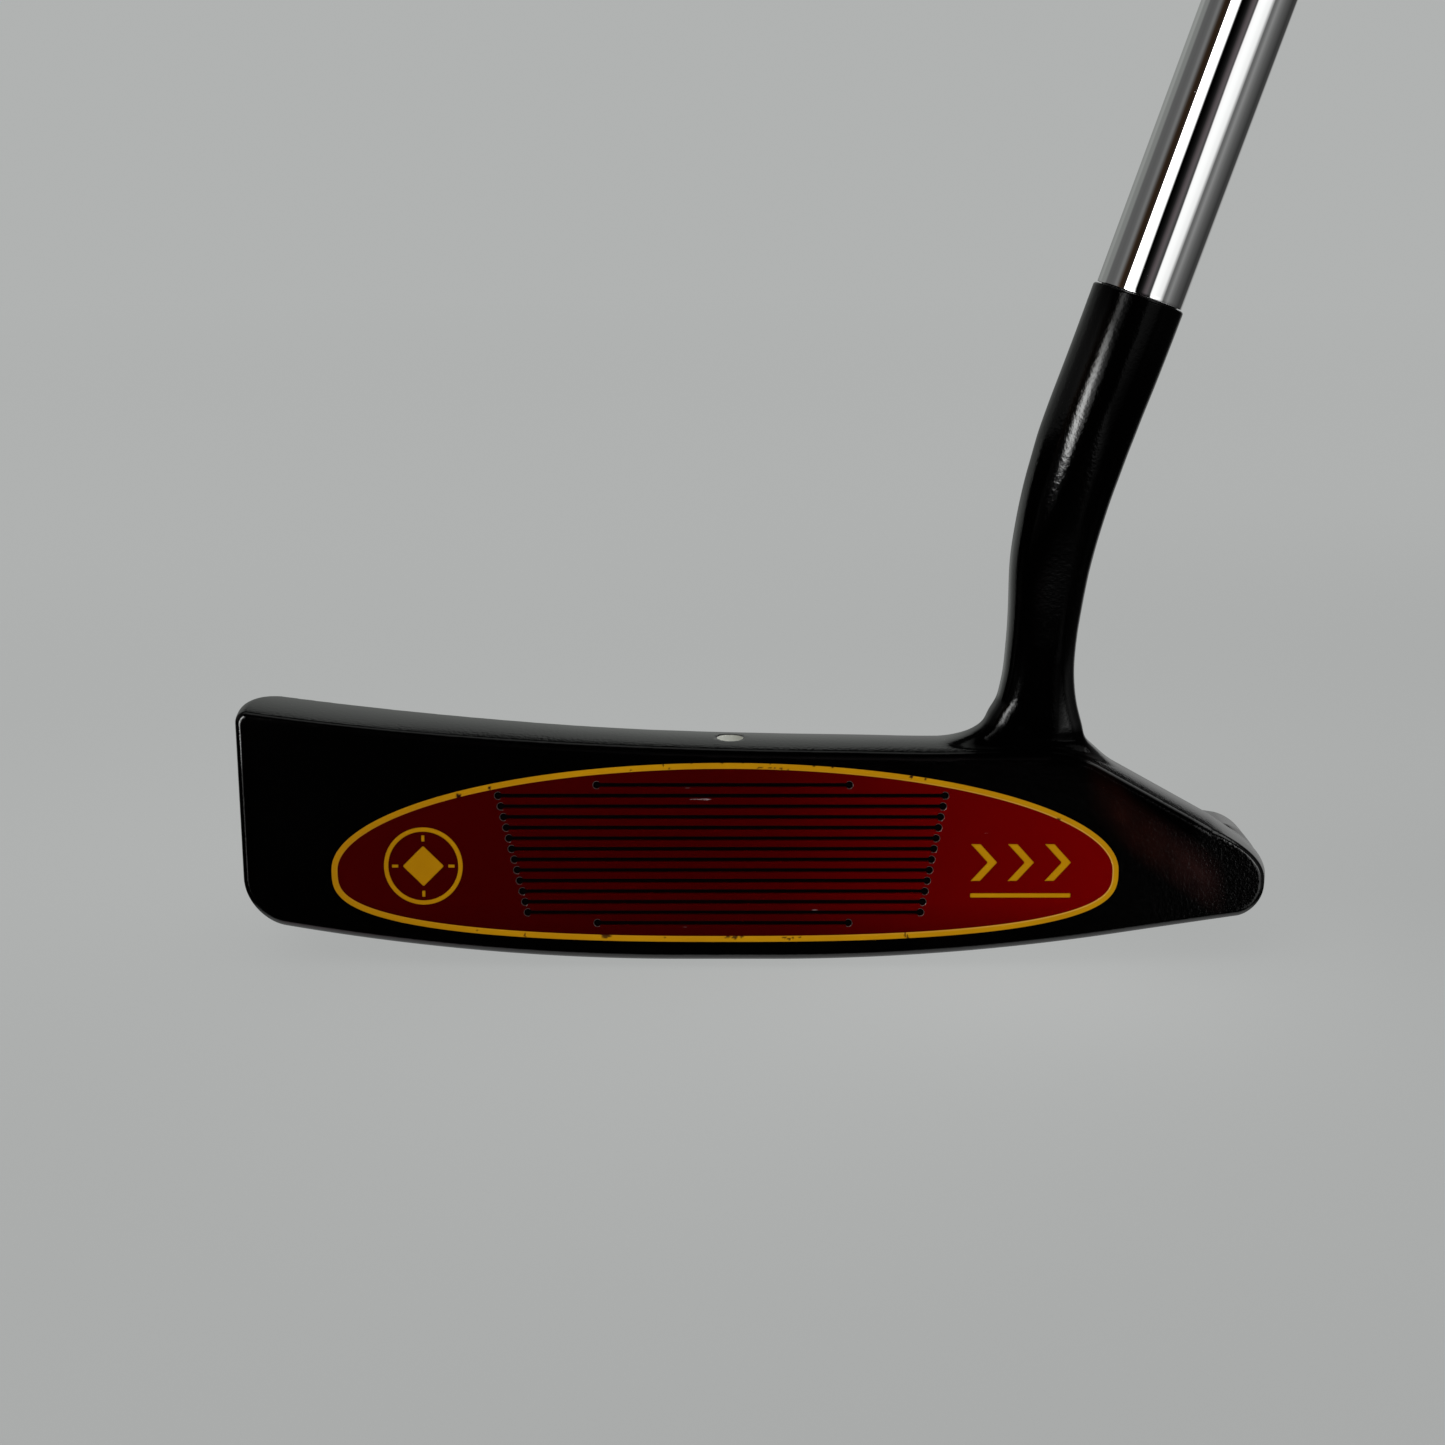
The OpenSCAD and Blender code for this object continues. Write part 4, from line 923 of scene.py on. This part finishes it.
def grip_cut(u, a):
    """Depth of the moulded pattern, mm, and how much of it is groove."""
    x, y = grip_base(u, a)
    flat = x < -8.2
    # arc position round the grip, zero at the middle of the round side
    t = 12.2 * (a - 2 * math.pi * (a > math.pi))
    ends = sstep(u, 14.5, 15.5) * (1 - sstep(u, 243.5, 244.5))
    # diamonds on the sides and the round back
    side = (1 - sstep(np.abs(t), 23.4, 24.2)) * ends
    p = 4.8
    f1 = ((u + 1.15 * t) / p) % 1.0; f2 = ((u - 1.15 * t) / p) % 1.0
    d1 = np.minimum(f1, 1 - f1) * p / 1.52; d2 = np.minimum(f2, 1 - f2) * p / 1.52
    dia = np.maximum(notch(d1, 0.62), notch(d2, 0.62)) * side
    # frame lines round the pattern
    fr = np.maximum(notch(np.abs(t) - 25.2, 0.7) * sstep(u, 11.5, 12.0) * (1 - sstep(u, 246.5, 247.0)),
                    np.maximum(notch(u - 12.0, 0.7), notch(u - 246.5, 0.7)) * (np.abs(t) < 25.4))
    # short ribs on the flat, either side of the painted line
    yy = np.abs(y)
    rib_zone = flat * sstep(u, 20, 20.6) * (1 - sstep(u, 236.4, 237)) * sstep(yy, 2.3, 2.6) * (1 - sstep(yy, 6.3, 6.6))
    fu = (u / 3.2) % 1.0; du = np.minimum(fu, 1 - fu) * 3.2
    rib = notch(du, 0.7) * rib_zone
    g = np.maximum(np.maximum(dia, fr), rib)
    depth = 0.30 * np.maximum(dia, rib) + 0.0
    depth = np.maximum(depth, 0.38 * fr)
    # channel for the painted line
    ch = flat * (1 - sstep(yy, 0.68, 0.82)) * sstep(u, 59.8, 60.1) * (1 - sstep(u, 169.9, 170.2))
    depth = depth * (1 - ch) + ch * (np.interp(u, GU, GX[0]) - 11.0 + 0.02)
    return depth, g
def grip_pt(u, a):
    x, y = grip_base(u, a)
    e = 1e-3
    xa, ya = grip_base(u, a + e); xb, yb = grip_base(u, a - e)
    tx, ty = xa - xb, ya - yb; L = np.maximum(np.hypot(tx, ty), 1e-9)
    d, g = grip_cut(u, a)
    return np.stack([x - d * ty / L, y + d * tx / L, u + 0 * x], -1), g
def local_to_row(P, s0):
    return JOINT + P[..., :1] * SX + P[..., 1:2] * SY + (P[..., 2:] + s0) * AX
def make_grip():
    rows = 430 if FINE else 260; cols = 216 if FINE else 144
    u = np.concatenate([[0.0, 0.1, 0.3, 0.6, 1.0, 1.5], np.linspace(2.1, BODY - 0.8, rows), [BODY - 0.5, BODY - 0.35, BODY - 0.2, BODY - 0.08, BODY]])
    # even columns by arc length at mid grip
    fa = np.linspace(0, 2 * math.pi, 4001); xx, yy = grip_base(np.full(4001, 130.0), fa)
    L = np.concatenate([[0], np.cumsum(np.hypot(np.diff(xx), np.diff(yy)))])
    a = np.interp(np.linspace(0, L[-1], cols, endpoint=False), L, fa)
    U, A = np.meshgrid(u, a, indexing="ij")
    P, g = grip_pt(U, A)
    e1, e2 = 0.05, 0.004
    Pu = grip_pt(np.clip(U + e1, 0, BODY), A)[0] - grip_pt(np.clip(U - e1, 0, BODY), A)[0]
    Pa = grip_pt(U, A + e2)[0] - grip_pt(U, A - e2)[0]
    N = np.cross(Pa, Pu); N /= np.maximum(np.linalg.norm(N, axis=-1), 1e-12)[..., None]
    R = N[..., :1] * SX + N[..., 1:2] * SY + N[..., 2:] * AX
    W = local_to_row(P, GRIP_S)
    ch = [(W.reshape(-1, 3), [grid_faces(len(u), cols)], R.reshape(-1, 3), 0)]
    groove = [g.ravel()]
    # mouth: from the lip to the tape, and up inside
    ring = P[0]; rr = np.hypot(ring[:, 0], ring[:, 1])[:, None]
    def inner(r, s): return np.concatenate([ring[:, :2] / rr * r, np.full((cols, 1), s)], 1)
    Q = np.stack([ring, inner(7.7, 0.0), inner(7.56, 0.25), inner(7.56, 12.0)])[::-1]
    Qn = grid_normals(Q)
    ch.append((local_to_row(Q, GRIP_S).reshape(-1, 3), [grid_faces(4, cols)], (Qn[..., :1] * SX + Qn[..., 1:2] * SY + Qn[..., 2:] * AX).reshape(-1, 3), 0))
    groove.append(np.zeros(4 * cols))
    # top, under the cap
    T = np.stack([P[-1], np.concatenate([P[-1][:, :2] * 0.62, np.full((cols, 1), BODY)], 1)])
    Tn = np.tile(AX, (2 * cols, 1))
    ch.append((local_to_row(T, GRIP_S).reshape(-1, 3), [grid_faces(2, cols)], Tn, 0))
    groove.append(np.zeros(2 * cols))
    return ch, np.concatenate(groove)
def make_cap():
    cols = 144
    a = np.arange(cols) * 2 * math.pi / cols
    def ring(xf, xb, wy, z):
        c, s = np.cos(a), np.sin(a); lo = c < 0
        return np.stack([np.sign(c) * np.abs(c) ** np.where(lo, 0.45, 0.85) * np.where(lo, xf, xb),
                         np.sign(s) * np.abs(s) ** np.where(lo, 0.8, 0.9) * wy, np.full(cols, z)], 1)
    prof = [(0.35, 0.0), (0.08, 0.08), (0.0, 0.3), (0.05, 0.9), (0.12, 1.5), (0.3, 2.4), (0.52, 3.1), (0.9, 3.8), (1.35, 4.3), (1.95, 4.7), (2.7, 4.92), (3.4, 5.0)]
    rows = [ring(12.6 - d, 17.2 - d, 13.2 - d, z) for d, z in prof]
    edge = rows[-1]
    circ = np.stack([1.5 * np.cos(a), 1.5 * np.sin(a), np.full(cols, 5.0)], 1)
    for t in np.linspace(0.02, 1, 60)[:-1]:
        P = edge * (1 - t) + circ * t
        r = 1 - t
        z = 5.0
        z -= 0.35 * float(notch(np.array(t - 0.16), 0.035))           # plain ring groove
        z -= 0.25 * float(sstep(np.array(t), 0.30, 0.36) * (1 - sstep(np.array(t), 0.74, 0.80)))   # dished middle
        P[:, 2] = z
        rows.append(P)
    for r, z in ((1.62, 4.98), (1.53, 4.9), (1.5, 4.75), (1.5, 0.2)):
        rows.append(np.stack([r * np.cos(a), r * np.sin(a), np.full(cols, z)], 1))
    P = np.stack(rows); N = grid_normals(P)
    f = grid_faces(len(rows), cols)
    R = N[..., :1] * SX + N[..., 1:2] * SY + N[..., 2:] * AX
    Q = local_to_row(P, GRIP_S + BODY).reshape(-1, 3)
    under = np.vstack([Q[-cols:], Q[:cols]])
    return [(Q, [f], R.reshape(-1, 3), 0), (under, [grid_faces(2, cols)], np.tile(-AX, (2 * cols, 1)), 0)]

# ------------------------------------------------------------------ sight dot
def top_z(x, y):
    zt, s = ztop(x); T = 8.0 + 2.0 * sstep(-x, 8, 48)
    z = zt
    for _ in range(3):
        z = zt + crown((y - FRONT - zt * TL) / T)
    return z
def make_dot():
    rows, cols = 14, 96
    r = np.linspace(0.0005, 1.585, rows); th = np.arange(cols) * 2 * math.pi / cols
    X = r[:, None] * np.cos(th); Y = r[:, None] * np.sin(th)
    k = (r / 1.585)[:, None]
    dep = 0.13 - 0.04 * k ** 2 - 0.05 * np.exp(-((1 - k) / 0.10) ** 2) + 0.10 * np.clip((k - 0.93) / 0.07, 0, 1) ** 2
    Z = top_z(DOT[0] + X, DOT[1] + Y) - dep
    P = np.stack([DOT[0] + X, DOT[1] + Y, Z], -1)
    N = grid_normals(P); N[0] = N[1]
    if N[5, 0, 2] < 0: N = -N
    f = grid_faces(rows, cols)
    Pf = P.reshape(-1, 3)
    g = np.cross(Pf[f[:, 2]] - Pf[f[:, 0]], Pf[f[:, 3]] - Pf[f[:, 1]])
    f[g[:, 2] < 0] = f[g[:, 2] < 0][:, ::-1]
    low = P[-1].copy(); low[:, 2] -= 0.25
    W = np.vstack([P[-1], low]); wf = grid_faces(2, cols, flip=True)
    wn = np.stack([np.cos(th), np.sin(th), 0 * th], 1)
    return [(Pf, [f], N.reshape(-1, 3), 0), (W, [wf], np.vstack([wn, wn]), 0)]

# ------------------------------------------------------------------ make the pieces
M = dict(head=m_head(), red=m_red(), yellow=m_yellow(), white=m_white(), chrome=m_chrome(),
         bare=m_plain("slot_metal", (0.10, 0.09, 0.08), (0.17, 0.16, 0.15), 0.35, 900, 0.2, 4000, metal=0.6),
         polymer=m_plain("polymer_black", (0.0006, 0.0003, 0.0003), (0.002, 0.0008, 0.0008), 0.6, 500, 0.4, spec=0.02),
         adhesive=m_plain("adhesive_clear", (0.55, 0.5, 0.38), (0.7, 0.66, 0.52), 0.35, 200, 0.2),
         epoxy=m_plain("epoxy_dark", (0.004, 0.004, 0.004), (0.01, 0.01, 0.009), 0.3, 400, 0.3),
         tape=m_plain("tape_cream", (0.62, 0.58, 0.47), (0.75, 0.71, 0.6), 0.6, 60, 0.4, 900),
         line=m_plain("paint_grey", (0.50, 0.50, 0.49), (0.62, 0.62, 0.60), 0.42, 250, 0.3),
         rubber=m_rubber("grip_rubber"), cap=m_rubber("cap_rubber"))
def m_band():
    k = Mat("band_dark")
    s = k.attr("along"); cloud = k.noise(200, 3, 0.6); grain = k.noise(2200, 2, 0.5)
    ink = k.ramp(s, [(0.0, (0.012, 0.012, 0.013)), (0.055, (0.45, 0.45, 0.44)), (0.085, (0.012, 0.012, 0.013)), (0.36, (0.30, 0.22, 0.02)), (0.375, (0.10, 0.004, 0.005)),
                     (0.625, (0.30, 0.22, 0.02)), (0.64, (0.012, 0.012, 0.013)), (0.915, (0.45, 0.45, 0.44)), (0.945, (0.012, 0.012, 0.013))], "CONSTANT")
    ink = k.mix(k.math("MULTIPLY", cloud, 0.15), ink, (0.05, 0.05, 0.05))
    return k.done(Base_Color=ink, Roughness=k.remap(cloud, 0.3, 0.7, 0.22, 0.34), IOR=1.5, Normal=k.bump(grain, 0.1, 0.00003))
M["band"] = m_band()

def place(ob, slot, *nodes):
    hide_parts(*nodes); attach(ob, "root")
    return ob

chunks, tris = make_head(0.475 if FINE else 0.75)
print("head triangles about", tris)
head = place(build("putter_head", chunks, [M["head"]]), "head_black", "head")
co = read_co(head)
# small bright nicks on the edges, in the photograph's places
NICKS = [(43.4, -11.23, 20.74, 0.16, 0.05), (-53.6, -11.2, 26.2, 0.10, 0.06), (12.0, -11.1, 23.9, 0.06, 0.05)]
worn = np.zeros(len(co))
for x, y, z, r, s in NICKS:
    d = np.sqrt((co[:, 0] - x) ** 2 + (co[:, 1] - y) ** 2 + (co[:, 2] - z) ** 2)
    worn = np.maximum(worn, 1 - np.clip((d - r) / s, 0, 1))
set_attr(head, "worn", worn)

plate = place(build("insert_plate_anodised", make_insert(), [M["red"], M["bare"]]), "insert_red", "insert_plate")
co = read_co(plate)
CHIPS = [(-30.08, 19.1, 0.3, 0.28, 1), (-26.64, 19.98, 0.18, 0.16, 1), (-7.43, 22.57, 0.12, 0.12, 0.8), (-4.29, 22.83, 0.14, 0.12, 0.9),
         (-11.04, 21.96, 0.12, 0.1, 0.8), (-6.76, 22.15, 0.12, 0.1, 0.8), (-0.93, 22.84, 0.12, 0.12, 0.8), (1.4, 22.84, 0.1, 0.1, 0.8),
         (3.2, 22.25, 0.28, 0.1, 0.8), (4.34, 22.24, 0.2, 0.1, 0.8), (4.86, 22.24, 0.12, 0.1, 0.9), (5.55, 22.15, 0.14, 0.1, 0.8),
         (6.33, 22.07, 0.12, 0.08, 0.8), (4.38, 22.73, 0.12, 0.08, 0.7), (9.19, 22.5, 0.18, 0.14, 1), (11.24, 22.35, 0.15, 0.12, 0.9),
         (19.97, 21.24, 0.2, 0.18, 1), (21.52, 21.03, 0.14, 0.12, 0.9), (-22.9, 3.35, 0.1, 0.22, 1), (-13.92, 3.27, 0.55, 0.26, 0.9),
         (-7.31, 3.11, 0.1, 0.1, 0.8), (-0.29, 3.18, 0.3, 0.14, 0.9), (0.49, 3.1, 0.32, 0.2, 0.9), (1.24, 3.2, 0.22, 0.14, 0.8),
         (6.06, 3.09, 0.25, 0.12, 0.9), (6.51, 2.93, 0.2, 0.14, 0.9), (6.95, 3.04, 0.12, 0.12, 0.8), (7.73, 3.13, 0.14, 0.08, 0.8),
         (19.46, 3.38, 0.1, 0.34, 1), (19.71, 3.15, 0.12, 0.2, 1), (36.31, 16.47, 0.2, 0.16, 0.9), (-28.24, 3.9, 0.1, 0.08, 0.7)]
ch, chip, painted_rim_highlight = make_border(CHIPS)
border = place(build("border_paint", ch, [M["yellow"]]), "paint_yellow", "insert_border")
if len(border.data.vertices) == len(chip):
    set_attr(border, "chip", chip); set_attr(border, "painted_rim_highlight", painted_rim_highlight)
toe = place(build("toe_mark_paint", make_toe_fill(), [M["yellow"]]), "paint_yellow", "toe_mark_fill")
heel = place(build("heel_mark_paint", make_heel_fill(), [M["yellow"]]), "paint_yellow", "heel_mark_fill")
dot = place(build("sight_dot_paint", make_dot(), [M["white"]]), "paint_white", "sight_dot")
shaft = place(build("shaft_tube", make_shaft(), [M["chrome"]]), "shaft_chrome", "shaft")
band = place(build("shaft_band_sleeve", make_band(), [M["band"]]), "band_dark", "shaft_band")
along = ((read_co(band) - JOINT) @ AX - 464.265) / 38.0
set_attr(band, "along", along)
ch, groove = make_grip()
grip = place(build("grip_sleeve", ch, [M["rubber"]]), "grip_rubber", "grip")
if len(grip.data.vertices) == len(groove): set_attr(grip, "groove", groove)
cap = place(build("grip_end_cap", make_cap(), [M["cap"]]), "cap_rubber", "grip_cap")
for node, mt in (("insert_polymer", "polymer"), ("insert_adhesive", "adhesive"), ("hosel_epoxy", "epoxy"), ("grip_tape", "tape"), ("grip_line_fill", "line")):
    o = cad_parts[node]
    o.data.materials.clear(); o.data.materials.append(M[mt])

# ------------------------------------------------------------------ stage
def flat_mat(name):
    k = Mat(name); return k
BG = (0.438, 0.449, 0.444)
# floor: pale and mostly even, with soft patches of painted light and painted shade on it (a little lighter under and
# behind the head), and only a faint contact shade
k = Mat("floor")
def painted_light_pool(x, y, r, amount):
    """A very soft round patch of painted light (amount above zero) or painted shade (amount below zero) on the floor.
    """
    d = k.n("VectorMath", {"operation": "DISTANCE"}, i0=flat, i1=(x, y, 0.0)).outputs["Value"]
    q = k.math("DIVIDE", d, r)
    return k.math("MULTIPLY", k.math("POWER", 2.718, k.math("MULTIPLY", k.math("MULTIPLY", q, q), -1.0)), amount)
flat = k.n("VectorMath", {"operation": "MULTIPLY"}, i0=k.co, i1=(1.0, 1.0, 0.0)).outputs[0]
tone = 0.437
for x, y, r, amount in ((0.0, 0.03, 0.10, 0.026), (0.0, -0.05, 0.06, 0.016), (0.036, -0.012, 0.032, 0.046), (0.10, 0.0, 0.075, -0.032), (-0.075, -0.06, 0.06, -0.014), (0.05, -0.12, 0.07, -0.014), (0.0, -0.17, 0.15, -0.038), (0.19, 0.16, 0.17, -0.032), (-0.20, 0.10, 0.16, -0.016)):
    tone = k.math("ADD", painted_light_pool(x, y, r, amount), tone)
TINT = (0.985, 1.008, 0.997)
col = k.n("VectorMath", {"operation": "SCALE"}, i0=TINT, Scale=k.math("SUBTRACT", tone, 0.046)).outputs[0]
em = k.n("Emission", Color=col, Strength=1.0)
df = k.n("BsdfDiffuse", Color=(0.10, 0.10, 0.10, 1))
add = k.n("AddShader", i0=em.outputs[0], i1=df.outputs[0])
far = k.n("Emission", Color=(*BG, 1), Strength=1.0)
rad = k.n("VectorMath", {"operation": "LENGTH"}, i0=k.co).outputs["Value"]
mixs = k.n("MixShader", Fac=k.remap(rad, 0.9, 1.8, 0.0, 1.0), i1=add.outputs[0], i2=far.outputs[0])
k.t.links.new(mixs.outputs[0], k.out.inputs[0])
floor_mat = k.m
floor_mat.cycles.emission_sampling = "NONE"
th = np.arange(96) * 2 * math.pi / 96
rr = [0.02, 300.0, 1200.0, 6000.0]
V = np.vstack([np.stack([r * np.cos(th), r * np.sin(th), np.full(96, -0.5)], 1) for r in rr])
floor = build("floor", [(V, [grid_faces(4, 96, flip=True)], np.tile([0, 0, 1.0], (len(V), 1)), 0)], [floor_mat])
floor.visible_glossy = False

# reflection surround: the studio's walls, lamps and floor painted on a big sphere that only gloss can see.
# psi runs round the shaft axis from the front (-Y) towards the heel, c is the lean along the shaft axis.
WALL = np.array([(-180, .235), (-150, .21), (-137, .21), (-121, .21), (-114, .11), (-99, .10), (-89, .115), (-82, .165), (-78, .15), (-73, .07), (-68, .02), (-62, .012),
                 (-56, .02), (-22, .0), (-13, .004), (-8, .012), (-4, .04), (0, .075), (5, .10), (9, .075), (13, .05), (40, .05), (50, .10), (56, .135), (60, .145), (64, .19),
                 (69, .24), (79, .155), (90, .10), (102, .07), (117, .036), (136, .05), (150, .12), (165, .20), (180, .235)])
def surround(D):
    """Light seen in direction D (rows of unit vectors), as three colours."""
    c = D @ AX; e = -D[:, 1]; s = D @ SX
    psi = np.degrees(np.arctan2(s, e))
    el = np.degrees(np.arcsin(np.clip(D[:, 2], -1, 1))); az = np.degrees(np.arctan2(D[:, 0], e))
    shift = np.where(psi < -50, np.clip(0.07 - c, 0, 0.6) * 27 * sstep(-psi, 55, 70) * (1 - sstep(-psi, 95, 120)), 0)
    wall = np.interp(psi - shift, WALL[:, 0], WALL[:, 1])
    left = sstep(-psi, 20, 50)
    wall = wall * (sstep(el, -20, -12) * left + sstep(el, -36, -14) * (1 - left) * np.interp(c, [-0.08, 0.02], [0.22, 1.0])) * (1 - 0.75 * sstep(el, 40, 60))
    wall = wall * (1 - (1 - sstep(np.abs(psi - 3), 10, 14)) * sstep(-c, -0.02, 0.03))       # plain dark in front, below the shaft's band
    # back wall, lit to a height that drops towards the heel side
    bk = sstep(np.abs(az), 138, 150)
    top = np.interp(az, [-180, -176, -170, -140, 140, 158, 166, 172, 176, 180], [40, 34, 30, 28, 14, 15.5, 22, 36, 41, 40])
    bl = np.interp(el, [-30, -8, 0, 8, 20, 60], [0.05, 0.2, 0.24, 0.33, 0.42, 0.42])
    bl = bl * np.interp(az, [-180, -176, -172, 172, 178, 180], [0.95, 0.75, 0.7, 1.0, 1.04, 0.95])
    bl = bl * (1 + 0.22 * sstep(az, 140, 150) * (1 - sstep(az, 170, 176)) * (1 - sstep(el, 4, 10)))
    bl = bl * (1 + 0.35 * sstep(np.abs(az), 140, 150) * (1 - sstep(az, 162, 168)) * (az > 0))
    bl = bl * (1 - sstep(el, top - 3, top + 4)) + 0.012
    L = wall * (1 - bk) + bl * bk
    # lower down, the wall behind at the left ends in a crisp edge
    low = sstep(-c, 0.10, 0.20) * sstep(-psi, 60, 70) * (1 - sstep(el, 6, 12)) * sstep(el, -24, -16)
    L = L * (1 - low) + low * np.interp(c, [-0.5, -0.3], [0.25, 0.33]) * sstep(-psi, 120, 131)
    # lamp at the left: a tall bright strip
    pc = np.interp(c, [-0.36, -0.33, -0.27, -0.15, 0.0, 0.12], [-30, -33, -37, -41.5, -44, -46])
    lo = np.interp(c, [-0.37, -0.33, -0.28, -0.2, -0.1], [-39, -43, -47, -50.5, -53.0]); hi = np.interp(c, [-0.3, 0.0, 0.03, 0.06, 0.12], [-19.5, -22.5, -23.5, -25.8, -28.0])
    strip = (13.0 * np.exp(-((psi - pc) / 6.5) ** 2) + 1.15) * sstep(psi, lo - 1.0, lo + 1.5) * (1 - sstep(psi, hi - 3.0, hi + 1.5))
    strip = strip * sstep(c, -0.40, -0.335) * (1 - sstep(c, 0.55, 0.7))
    # lamp at the right: wider and softer, brighter higher up
    lo = np.interp(c, [-0.25, -0.1, 0.0, 0.03, 0.06, 0.12, 0.2, 0.35, 0.6], [23, 21, 18, 16.5, 15.5, 11.0, 15, 22, 27])
    body = np.interp(c, [-0.35, -0.2, -0.1, -0.015, 0.03, 0.15, 0.25, 0.35], [0.45, 0.7, 1.0, 1.7, 1.02, 1.05, 3.5, 6.0])
    shape = np.interp(psi, [12, 22, 30, 36, 43, 46, 49, 52, 55], [0.9, 1.0, 0.97, 0.9, 0.84, 0.72, 0.45, 0.25, 0.0])
    shape = shape * np.interp(c, [-0.03, 0.02], [0.0, 1.0]) + np.interp(psi, [12, 22, 30, 36, 43, 49, 55], [0.8, 1.0, 0.85, 0.55, 0.32, 0.18, 0.0]) * np.interp(c, [-0.03, 0.02], [1.0, 0.0])
    onc = np.interp(psi, [14, 24, 30, 36, 44], [-0.205, -0.225, -0.265, -0.30, -0.32])
    soft = body * shape * sstep(psi, lo - 2.0, lo + 2.0) * sstep(c, onc - 0.03, onc + 0.03) * (1 - sstep(c, 0.38, 0.44))
    L = L + strip + soft
    # small high panel over the heel, weak light overhead
    L = L + 1.6 * sstep(az, 50, 62) * (1 - sstep(az, 112, 124)) * sstep(el, 39, 44) * (1 - sstep(el, 54, 60))
    L = L + 0.42 * sstep(el, 58, 68) * sstep(D[:, 1], -0.12, 0.12)
    # pale floor, seen steeply
    fl = np.interp(-el, [33, 38, 43, 50, 58, 76, 90], [0.0, 0.04, 0.27, 0.70, 1.0, 0.85, 0.8])
    fb = np.interp(-el, [24, 31, 36, 47, 63, 90], [0.0, 0.04, 0.14, 0.33, 0.63, 0.85])
    L = L + fl * (1 - sstep(D[:, 1], -0.1, 0.3)) + fb * sstep(D[:, 1], -0.1, 0.3)
    warm = np.exp(-((psi + 63) / 7.0) ** 2) * (np.abs(c) < 0.3)
    green = sstep(-psi, 112, 122) * 0.03
    rose = np.exp(-((psi - 1) / 9.0) ** 2)
    return L[:, None] * np.stack([1 + 0.75 * warm + 0.12 * rose - 0.01 * green, 1 + green - 0.06 * rose, 1 - 0.45 * warm + 0 * L], 1) * np.array([0.99, 1.0, 0.992])
nu, nv = 900, 450
ph = np.linspace(0.001, math.pi - 0.001, nv); az = np.arange(nu) * 2 * math.pi / nu
PH, AZ = np.meshgrid(ph, az, indexing="ij")
D = np.stack([np.sin(PH) * np.cos(AZ), np.sin(PH) * np.sin(AZ), np.cos(PH)], -1).reshape(-1, 3)
k = Mat("surround")
em = k.n("Emission", Color=k.n("Attribute", {"attribute_name": "light"}).outputs["Color"], Strength=1.0)
k.t.links.new(em.outputs[0], k.out.inputs[0])
k.m.cycles.emission_sampling = "NONE"
sphere = build("surround", [(D * 8000.0, [grid_faces(nv, nu)], -D, 0)], [k.m])
L = surround(D)
at = sphere.data.attributes.new("light", "FLOAT_COLOR", "POINT")
at.data.foreach_set("color", np.concatenate([L, np.ones((len(L), 1))], 1).astype(np.float32).ravel())
for o in (sphere,):
    o.visible_camera = False; o.visible_diffuse = False; o.visible_shadow = False; o.visible_transmission = False

world = bpy.data.worlds.new("studio"); scene.world = world; world.use_nodes = True
world.node_tree.nodes["Background"].inputs[0].default_value = (*BG, 1)
world.cycles_visibility.glossy = False
key = bpy.data.lights.new("key", "AREA"); key.shape = "RECTANGLE"; key.size = 0.9; key.size_y = 0.7; key.energy = 2.0
ko = bpy.data.objects.new("key", key); scene.collection.objects.link(ko)
ko.location = (-0.5, -0.75, 0.95); ko.rotation_euler = (Vector((0, 0, 0.02)) - ko.location).to_track_quat("-Z", "Y").to_euler()
ko.visible_glossy = False; ko.visible_camera = False
